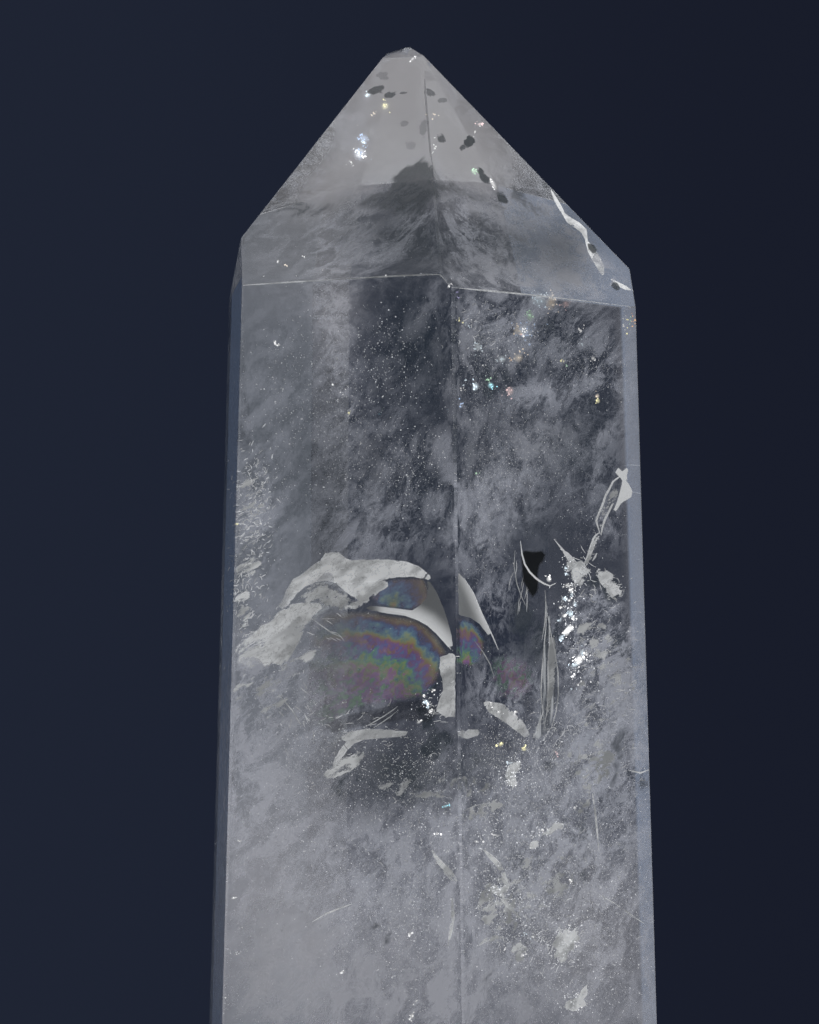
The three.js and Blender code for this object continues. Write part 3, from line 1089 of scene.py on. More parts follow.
def build_needle():
    """The white splinter near the right edge and the splashes at its foot."""
    white = Sheets("rim", "shade", "cover")
    white.sheet(NEEDLE_HEAD, 1.6, (0, 0), 0.1, grid=2.5, jitter=0.7, shade=1.0, cover=0.3)
    white.sheet(NEEDLE_BLADE, 1.6, (0, 0), 0.1, grid=3, jitter=0.6, shade=1.0, cover=0.3)
    white.sheet(NEEDLE_BODY, 1.9, (0, 0), 0.1, grid=3, jitter=0.6, shade=0.7, cover=-0.10)
    for strand in NEEDLE_STRANDS:
        white.ribbon(strand, 2.2, 2.0, shade=0.9, cover=0.2)
    white.sheet(SPLASH, 2.0, (0, 0), 0.2, grid=3, jitter=1.2, shade=1.0, cover=0.04)
    white.sheet(NEEDLE_LACE, 2.0, (0, 0), 0.2, grid=3, jitter=1.2, shade=0.8, cover=-0.08)
    white.sheet(JAGGED, 2.0, (-1.0, 0), 0.2, grid=3, jitter=1.6, shade=1.0, cover=0.0)
    # Painted highlights along the edges where the point meets the sides.
    for path in SHOULDER_HIGHLIGHTS:
        white.ribbon(path, 1.0, 0.2, shade=0.55, cover=0.03)
    for path, width in SLOPE_SPLASHES:
        white.ribbon(path, width, 1.6, shade=1.0, cover=0.02)
    for px, py, width, height, depth, turn, shade, cover in TUFTS:
        ring = oval(px, py, width, height, turn)
        white.sheet(ring, depth, (0, 0), 0.2, grid=2.5, jitter=2.6, soften=0.6, shade=shade, cover=cover)
    for corners in RAGGED_TUFTS:
        white.sheet(corners, 0.95, (0, 0), 0.1, grid=2.5, jitter=1.2, soften=0.4, shade=1.0, cover=0.10)
    for path, width in TUFT_STROKES:
        white.ribbon(path, width, 1.0, shade=1.0, cover=-0.07)
    # The needle, splashes and tufts share the crack's material: their white is their own, their glow is painted
    # reflection by emission.
    white.piece("white_needle", silver_material())


# ---------------------------------------------------------------- clouds, frost, painted darks and shade

LAYER_DEPTHS = (1.8, 4.4, 8.0)  # millimetres behind the front faces
LAYER_STEP = 5.0  # pixels

# Soft clouds: pixel, width, height, depth in millimetres, turn in degrees, density. The layer whose depth is
# nearest takes it.
CLOUDS = [
    (337, 325, 34, 120, 4, 0, 0.34), (292, 420, 150, 260, 4, 0, 0.16), (255, 520, 60, 170, 2, 0, 0.26),
    (400, 350, 90, 130, 8, 20, 0.10), (436, 388, 46, 14, 4, 5, 0.26), (402, 452, 60, 22, 4, -38, 0.30),
    (440, 446, 50, 24, 4, -40, 0.30), (395, 490, 110, 90, 8, -20, 0.26), (380, 530, 130, 70, 8, 0, 0.20),
    (425, 308, 16, 60, 4, 32, 0.24), (385, 420, 60, 60, 8, -30, 0.14), (490, 320, 80, 60, 8, 0, 0.40),
    (500, 350, 90, 90, 4, 0, 0.32), (560, 330, 80, 100, 8, 0, 0.30), (534, 396, 80, 34, 8, -8, 0.46),
    (535, 445, 90, 60, 4, -30, 0.44), (500, 480, 90, 80, 8, -35, 0.44), (480, 530, 60, 90, 4, 0, 0.38),
    (500, 510, 110, 70, 2, -20, 0.20), (600, 380, 60, 110, 8, 0, 0.30), (602, 437, 44, 18, 4, -40, 0.42),
    (590, 470, 60, 60, 8, -30, 0.34), (600, 520, 50, 60, 4, -40, 0.26), (262, 690, 80, 110, 4, 0, 0.62),
    (320, 700, 130, 120, 8, 0, 0.40), (250, 780, 70, 140, 4, 0, 0.48), (600, 602, 34, 30, 4, 30, 0.60),
    (596, 640, 80, 60, 4, 0, 0.55), (605, 700, 90, 110, 4, 25, 0.60), (500, 600, 60, 60, 8, 0, 0.32),
    (505, 690, 80, 70, 8, 0, 0.38), (590, 760, 110, 90, 2, 20, 0.45), (470, 800, 130, 90, 8, 0, 0.34),
    (560, 830, 130, 130, 4, 0, 0.50), (420, 860, 140, 90, 4, 0, 0.38), (300, 880, 170, 170, 4, 0, 0.45),
    (500, 930, 140, 130, 4, 10, 0.52), (610, 930, 90, 180, 4, 0, 0.50), (620, 800, 50, 160, 2, 0, 0.40),
    (340, 960, 170, 110, 2, 0, 0.26), (440, 1010, 380, 70, 2, 0, 0.30), (380, 900, 120, 120, 8, 0, 0.36),
    (275, 235, 60, 70, 4, 0, 0.26), (325, 240, 46, 80, 4, 8, 0.46), (395, 250, 100, 34, 4, -24, 0.34),
    (412, 222, 60, 26, 4, -38, 0.36), (470, 240, 60, 50, 4, 24, 0.40), (505, 262, 90, 40, 4, 20, 0.42),
    (560, 270, 60, 40, 4, 20, 0.36), (460, 212, 40, 24, 4, 24, 0.30), (520, 225, 60, 34, 4, 24, 0.34),
    (566, 232, 26, 110, 2, -40, 0.50), (606, 276, 40, 22, 2, 30, 0.44), (350, 188, 60, 14, 4, -8, 0.34),
    (500, 280, 120, 26, 2, 4, 0.45), (575, 288, 60, 24, 2, 8, 0.40), (357, 236, 40, 80, 1.8, 0, 0.40),
    (514, 240, 40, 90, 1.8, -8, 0.40), (395, 194, 70, 22, 1.8, -20, 0.46), (470, 198, 80, 24, 1.8, 20, 0.42),
    (349, 560, 50, 110, 4, 0, 0.34), (349, 430, 40, 120, 4, 0, 0.20), (456, 800, 50, 110, 2, 0, 0.36),
    (456, 940, 60, 160, 2, 0, 0.45), (452, 500, 34, 120, 2, 0, 0.14), (470, 390, 40, 120, 4, 0, 0.26),
]

# Frost, a swarm of fine flecks: the same numbers.
FROSTS = [
    (254, 470, 30, 50, 2, -20, 0.55), (252, 500, 44, 60, 2, -10, 0.75), (248, 545, 34, 60, 2, 0, 0.70),
    (244, 590, 24, 50, 2, 0, 0.55), (385, 350, 70, 100, 4, 10, 0.50), (350, 455, 60, 80, 4, 0, 0.45),
    (415, 470, 70, 60, 4, -35, 0.60), (340, 400, 60, 60, 4, 0, 0.36), (300, 420, 90, 120, 4, 0, 0.25),
    (250, 625, 40, 40, 4, 0, 0.60), (290, 650, 70, 70, 4, 20, 0.45), (360, 770, 150, 90, 4, 0, 0.44),
    (290, 800, 110, 110, 4, -30, 0.40), (440, 780, 90, 90, 4, 0, 0.65), (520, 790, 110, 110, 4, 30, 0.75),
    (600, 780, 110, 150, 4, 20, 0.70), (480, 880, 150, 130, 4, 30, 0.80), (340, 910, 150, 110, 4, -30, 0.40),
    (400, 940, 150, 140, 4, 0, 0.65), (540, 930, 150, 140, 4, 10, 0.85), (260, 950, 80, 110, 2, 0, 0.28),
    (610, 900, 90, 170, 2, 20, 0.70), (480, 470, 90, 100, 4, -20, 0.65), (540, 450, 80, 90, 4, -20, 0.65),
    (490, 340, 90, 100, 8, 0, 0.80), (500, 320, 100, 70, 4, 0, 0.75), (580, 350, 70, 100, 8, -20, 0.60),
    (600, 365, 60, 50, 4, 0, 0.55), (480, 550, 60, 100, 4, 0, 0.60), (590, 530, 60, 60, 4, 0, 0.35),
    (440, 1000, 460, 80, 4, 0, 0.40), (470, 660, 40, 50, 4, 0, 0.40), (600, 700, 90, 110, 4, 0, 0.60),
    (395, 640, 90, 60, 4, 0, 0.35), (300, 720, 110, 80, 4, 0, 0.50), (500, 740, 70, 60, 4, 0, 0.65),
    (560, 760, 70, 80, 4, 0, 0.65), (300, 340, 110, 110, 4, 0, 0.22), (466, 410, 60, 120, 8, 0, 0.55),
    (440, 860, 430, 300, 2, 0, 0.35), (500, 245, 140, 80, 4, 10, 0.30), (400, 235, 90, 80, 4, -20, 0.25),
]

# Painted dark patches, where a void or a turned-away face shows the dark behind: the same numbers.
DARKS = [
    (405, 205, 60, 24, 1.8, -20, 0.40), (395, 235, 70, 20, 1.8, -35, 0.36), (430, 245, 26, 50, 1.8, 0, 0.36),
    (475, 225, 60, 22, 1.8, 25, 0.36), (520, 240, 50, 16, 1.8, 25, 0.30), (300, 215, 90, 16, 1.8, -10, 0.30),
    (395, 775, 130, 70, 1.8, 0, 0.24), (350, 790, 80, 60, 1.8, 20, 0.22), (430, 790, 80, 60, 1.8, 0, 0.20),
    (470, 770, 60, 50, 1.8, -30, 0.34), (548, 790, 40, 60, 1.8, 10, 0.36), (610, 800, 50, 90, 1.8, 10, 0.36),
    (370, 930, 70, 60, 1.8, 20, 0.36), (340, 860, 70, 30, 1.8, -30, 0.26), (590, 860, 40, 70, 1.8, 20, 0.32),
    (470, 850, 50, 40, 1.8, 0, 0.28), (545, 900, 60, 40, 1.8, -30, 0.24), (500, 985, 90, 40, 1.8, 10, 0.26),
    (620, 740, 40, 60, 1.8, 10, 0.36), (290, 480, 60, 80, 1.8, 0, 0.20), (590, 560, 60, 60, 1.8, 0, 0.20),
    (412, 174, 46, 20, 1.8, -28, 0.50), (426, 168, 14, 30, 1.8, 0, 0.34), (398, 190, 60, 26, 1.8, -24, 0.36),
    (424, 190, 36, 40, 1.8, 0, 0.42), (456, 190, 50, 20, 1.8, 16, 0.36), (490, 202, 64, 22, 1.8, 20, 0.36),
    (522, 189, 30, 24, 1.8, 25, 0.62), (540, 212, 40, 22, 1.8, 30, 0.34), (296, 206, 80, 16, 1.8, -8, 0.34),
    (368, 202, 50, 18, 1.8, -12, 0.32), (489, 392, 16, 24, 8, 0, 0.60), (505, 380, 28, 26, 8, 0, 0.60),
    (480, 372, 24, 30, 8, 0, 0.55), (548, 325, 34, 34, 8, 0, 0.55), (592, 402, 16, 26, 8, 0, 0.55),
    (612, 592, 26, 30, 4, 20, 0.70), (592, 582, 24, 18, 4, -30, 0.55), (472, 455, 30, 60, 8, 15, 0.45),
    (510, 505, 24, 40, 8, 0, 0.40), (445, 738, 26, 18, 4, 0, 0.70), (432, 752, 34, 24, 4, 0, 0.60),
    (395, 768, 110, 54, 8, 0, 0.60), (547, 762, 24, 30, 4, 0, 0.55), (640, 780, 16, 50, 4, 0, 0.55),
    (586, 840, 26, 70, 8, 0, 0.50), (375, 945, 60, 60, 8, 0, 0.40), (365, 818, 50, 26, 8, 0, 0.45),
    (445, 868, 30, 40, 4, -30, 0.50), (428, 722, 16, 18, 4, 0, 0.80), (433, 684, 18, 16, 4, 0, 0.80),
    (424, 708, 18, 12, 4, -20, 0.70), (545, 650, 60, 60, 8, 0, 0.50), (520, 610, 50, 70, 8, 0, 0.50),
    (620, 650, 26, 50, 8, 0, 0.50), (490, 760, 60, 26, 8, 10, 0.45), (520, 860, 40, 30, 8, 0, 0.35),
    (470, 960, 60, 30, 8, 0, 0.35),
]


# Even haze, with no torn edges: the same numbers.
HAZES = [
    (404, 60, 60, 36, 1.8, 0, 0.40), (402, 118, 170, 130, 1.8, 0, 0.80), (335, 182, 110, 50, 1.8, -32, 0.55),
    (478, 165, 90, 80, 1.8, 40, 0.60), (405, 75, 70, 70, 1.8, 0, 0.50), (337, 300, 44, 70, 4, 0, 0.26),
    (300, 250, 140, 110, 1.8, -10, 0.22), (560, 250, 50, 130, 1.8, -40, 0.26), (440, 900, 460, 300, 4, 0, 0.18),
    (600, 690, 90, 160, 4, 0, 0.12), (500, 470, 120, 160, 4, 0, 0.07), (280, 700, 150, 160, 4, 0, 0.16),
    (334, 330, 34, 90, 1.8, 0, 0.16), (630, 400, 20, 280, 1.8, -2, 0.26), (640, 640, 22, 280, 1.8, -2, 0.18),
    (372, 470, 70, 200, 4, 0, 0.08), (440, 1015, 460, 130, 1.8, 0, 0.26), (510, 275, 150, 40, 1.8, 4, 0.18),
    (470, 360, 60, 180, 4, 0, 0.05), (456, 920, 60, 200, 1.8, 0, 0.14), (270, 880, 150, 260, 1.8, 0, 0.34),
    (600, 930, 120, 160, 1.8, 0, 0.30), (320, 960, 200, 120, 1.8, 0, 0.20),
]


# Painted even shade, where little light comes through: the same numbers.
SHADES = [
    (290, 235, 140, 80, 1.8, 0, 0.36), (404, 236, 80, 74, 1.8, 0, 0.54), (495, 245, 120, 70, 1.8, 0, 0.50),
    (566, 250, 60, 80, 1.8, 0, 0.54), (352, 232, 40, 80, 1.8, 0, 0.20), (522, 240, 40, 90, 1.8, -8, 0.16),
    (570, 340, 80, 80, 4, 0, 0.19), (450, 900, 180, 170, 4, 0, 0.08), (290, 650, 80, 60, 4, 0, 0.12),
    (440, 770, 140, 90, 4, 0, 0.12), (560, 446, 80, 70, 4, 0, 0.20), (335, 560, 40, 130, 4, 0, 0.20),
    (270, 330, 80, 120, 4, 0, 0.12), (300, 470, 140, 180, 4, 0, 0.32), (375, 480, 70, 180, 4, 0, 0.24),
    (415, 335, 90, 130, 4, 0, 0.48), (430, 480, 70, 180, 4, 0, 0.32), (500, 360, 100, 140, 4, 0, 0.28),
    (510, 470, 120, 120, 4, 0, 0.26), (592, 350, 50, 120, 4, 0, 0.10), (592, 450, 70, 110, 4, 0, 0.24),
    (515, 535, 100, 60, 4, 0, 0.20), (290, 700, 130, 120, 4, 0, 0.24), (610, 690, 80, 120, 4, 0, 0.16),
    (395, 775, 130, 70, 4, 0, 0.40),
]


class Ovals:
    """Soft ovals of one layer. Their densities add up."""

    def __init__(self, table, layer):
        rows = [row for row in table if min(LAYER_DEPTHS, key=lambda depth: abs(depth - row[4])) == layer]
        self.x, self.y, self.width, self.height, _, turn, self.density = np.array(rows, float).reshape(-1, 7).T
        self.cosine, self.sine = np.cos(np.radians(turn)), np.sin(np.radians(turn))

    def at(self, px, py):
        dx, dy = px - self.x, py - self.y
        u = (dx * self.cosine + dy * self.sine) / (self.width / 2)
        v = (dy * self.cosine - dx * self.sine) / (self.height / 2)
        return float((self.density * np.exp(-(u * u + v * v))).sum())


FADE_FAR = 3 * MM  # the clouds thin out where there is less stone than this behind a face
NO_STONE = 0.3 * MM  # and end where there is less than this
FADE_CLEAR = 3 * MM  # the frost thins out nearer than this to the next face
FADE_EDGE = 0.8 * MM  # nearer than this to it, the clouds of both faces are seen, so each is thinner
FACE_JUMP = 23 * MM  # what the clouds' pattern shifts by from one face to the next
CLOUD_FACING = Vector((-0.15, -0.89, 0.43))
HAZE_COLOUR = (0.428, 0.420, 0.443, 1.0)
CLOUD_COLOUR = (0.490, 0.510, 0.585, 1.0)
CLOUD_GRAIN = math.radians(45)  # the way that the clouds are drawn out, from upright towards the right


def layer_material():
    """A veil seen close up: even haze, torn swirls of cloud, painted dark patches and painted shade."""
    material, r = new_material("clouded_layer")
    jumped = r.add("ShaderNodeVectorMath", {"operation": "ADD"}, {0: r.place(), 1: r.attribute("jump")})
    place = r.stretch(jumped, (1.0, 1.0, 1.7), (0, CLOUD_GRAIN, 0))
    torn = r.cloud(place, 1.8 * MM, detail=6, roughness=0.70, warp=0.5)
    curl = r.cloud(place, 0.9 * MM, detail=3, roughness=0.6, warp=1.2, shift=3)
    ridge = r.rise(r.math("ABSOLUTE", curl - 0.5), 0.05, 0.0)
    swirl = r.attribute("cloud") * (1.50 * r.rise(torn, 0.44, 0.61) + 0.65 * ridge)
    white = r.math("MINIMUM", r.attribute("haze") + swirl, 0.95)
    # lit: how much the painted dark patches and the painted even shade leave of the veil's white and of what lies
    # behind it
    lit = (1.0 - 0.75 * r.rise(r.attribute("dark") + 1.5 * (torn - 0.5), 0.30, 0.62)) * (1.0 - r.attribute("shade"))
    cover = 1.0 - (1.0 - white) * lit
    pale = r.mix(r.attribute("even"), CLOUD_COLOUR, HAZE_COLOUR)
    veil = r.add("ShaderNodeBsdfPrincipled", sockets={
        "Base Color": r.mix(white * lit / (cover + 0.001), grey(0.02, -0.4), pale),
        "Roughness": 0.8,
        "Specular IOR Level": 0.1,
        "Alpha": r.math("MINIMUM", cover, 0.97),
    })
    r.finish(veil)
    return material


def build_layers(settings):
    """The clouds, frost, painted darks and shade close behind the front faces, as wavy sheets of changing density."""
    veils = Sheets("cloud", "haze", "even", "frost", "dark", "shade", "jump")
    for depth in LAYER_DEPTHS:
        clouds, hazes, frosts, darks, shades = (Ovals(rows, depth) for rows in (CLOUDS, HAZES, FROSTS, DARKS, SHADES))
        for jump, outline in enumerate(sight.outlines()):

            def fields(px, py):
                _, _, far, clear = sight.path(px, py)
                strength = step_up(far, NO_STONE, FADE_FAR) * (0.8 + 0.2 * step_up(clear, 0, FADE_EDGE))
                cloud, haze = clouds.at(px, py) * strength, hazes.at(px, py) * strength
                frost = frosts.at(px, py) * strength * (0.3 + 0.7 * step_up(clear, 0, FADE_CLEAR))
                return {
                    "cloud": min(settings.clouds * cloud, 0.9),
                    "haze": settings.clouds * haze,
                    "even": haze / (haze + cloud + 0.02),
                    "frost": settings.frost * frost,
                    "dark": darks.at(px, py),
                    "shade": min(shades.at(px, py), 0.8),
                    "jump": jump * FACE_JUMP,
                }

            veils.layer(outline, depth, LAYER_STEP, fields)
    layers = veils.piece("clouded_layers", layer_material(), CLOUD_FACING)
    build_flakes(layers, settings)


# ---------------------------------------------------------------- flakes

FLAKE_SEED = 7


def flake_material():
    """A tiny open void: it turns the light back, brightly or hardly at all, as a painted glint."""
    material, r = new_material("frost_flake")
    bright = r.attribute("bright")
    flake = r.add("ShaderNodeBsdfPrincipled", sockets={
        "Base Color": r.mix(bright, grey(0.55, -0.03), grey(0.98)),
        "Roughness": 0.4,
        # Painted glint: the flake glows by emission, though it is no lamp.
        "Emission Color": r.mix(bright, grey(0.02), grey(0.42)),
        "Emission Strength": 1.0,
    })
    r.finish(flake)
    return material


def flake_tree(material):
    """Scatters flat flakes of four corners over the veils, most where the frost is thickest."""
    tree = bpy.data.node_groups.new("frost flakes", "GeometryNodeTree")
    face = tree.interface
    face.new_socket("Veils", in_out="INPUT", socket_type="NodeSocketGeometry")
    face.new_socket("Flakes", in_out="OUTPUT", socket_type="NodeSocketGeometry")
    for name, default in (("Flakes per square metre", 5e6), ("Size", 0.12 * MM)):
        face.new_socket(name, in_out="INPUT", socket_type="NodeSocketFloat").default_value = default
    face.new_socket("Seed", in_out="INPUT", socket_type="NodeSocketInt").default_value = 1

    def add(kind, settings=(), sockets=(), output=0):
        node = tree.nodes.new(kind)
        for name, value in dict(settings).items():
            setattr(node, name, value)
        for name, value in dict(sockets).items():
            if isinstance(value, bpy.types.NodeSocket):
                tree.links.new(value, node.inputs[name])
            else:
                node.inputs[name].default_value = value
        return node.outputs[output] if len(node.outputs) else node

    inlet = tree.nodes.new("NodeGroupInput").outputs
    frost = add("GeometryNodeInputNamedAttribute", {"data_type": "FLOAT"}, {"Name": "frost"})
    thick = add("ShaderNodeMath", {"operation": "POWER"}, {0: frost, 1: 1.6})
    density = add("ShaderNodeMath", {"operation": "MULTIPLY"}, {0: thick, 1: inlet["Flakes per square metre"]})
    points = add("GeometryNodeDistributePointsOnFaces", {"distribute_method": "RANDOM"},
                 {"Mesh": inlet["Veils"], "Density": density, "Seed": inlet["Seed"]})
    flake = add("GeometryNodeMeshCircle", {"fill_type": "NGON"}, {"Vertices": 4, "Radius": 1.0})
    turn = add("FunctionNodeRandomValue", {"data_type": "FLOAT_VECTOR"},
               {"Min": (0, 0, 0), "Max": (math.tau, math.tau, math.tau), "Seed": 2})
    shape = add("FunctionNodeRandomValue", {"data_type": "FLOAT_VECTOR"},
                {"Min": (0.35, 0.12, 1.0), "Max": (1.5, 0.7, 1.0), "Seed": 3})
    scale = add("ShaderNodeVectorMath", {"operation": "SCALE"}, {0: shape, "Scale": inlet["Size"]})
    placed = add("GeometryNodeInstanceOnPoints", sockets={
        "Points": points, "Instance": flake, "Rotation": turn, "Scale": scale,
    })
    # Painted glints: a random brightness for each flake, which its material sets as colour and emission.
    chance = add("FunctionNodeRandomValue", {"data_type": "FLOAT"}, {"Seed": 4}, output="Value")
    bright = add("ShaderNodeMath", {"operation": "POWER"}, {0: chance, 1: 3.0})
    marked = add("GeometryNodeStoreNamedAttribute", {"data_type": "FLOAT", "domain": "INSTANCE"},
                 {"Geometry": placed, "Name": "bright", "Value": bright})
    real = add("GeometryNodeRealizeInstances", sockets={0: marked})
    dressed = add("GeometryNodeSetMaterial", sockets={"Geometry": real, "Material": material})
    add("NodeGroupOutput", sockets={"Flakes": dressed})
    return tree


def build_flakes(layers, settings):
    """The frost's brightest flecks, as flakes of their own that shine as painted glints."""
    material = flake_material()
    tree = flake_tree(material)
    flakes = bpy.data.objects.new("frost_flakes", layers.data.copy())
    bpy.context.scene.collection.objects.link(flakes)
    scatter = flakes.modifiers.new("scatter", "NODES")
    scatter.node_group = tree
    values = {"Flakes per square metre": settings.flake_count, "Size": settings.flake_size, "Seed": FLAKE_SEED}
    for socket in tree.interface.items_tree:
        if socket.name in values:
            scatter[socket.identifier] = values[socket.name]
    apply_modifiers(flakes)
    inclusion(flakes, material)


# ---------------------------------------------------------------- flecks and painted glints

# Tones of what glints: red, green and blue.
WHITE = (1.0, 1.0, 1.0)
WARM = (1.0, 0.82, 0.62)
YELLOW = (1.0, 0.93, 0.45)
ORANGE = (1.0, 0.55, 0.22)
PINK = (1.0, 0.66, 0.66)
BLUE = (0.42, 0.62, 1.0)
ICE = (0.72, 0.88, 1.0)
CYAN = (0.35, 0.85, 1.0)
GREEN = (0.55, 1.0, 0.62)
VIOLET = (0.50, 0.42, 1.0)

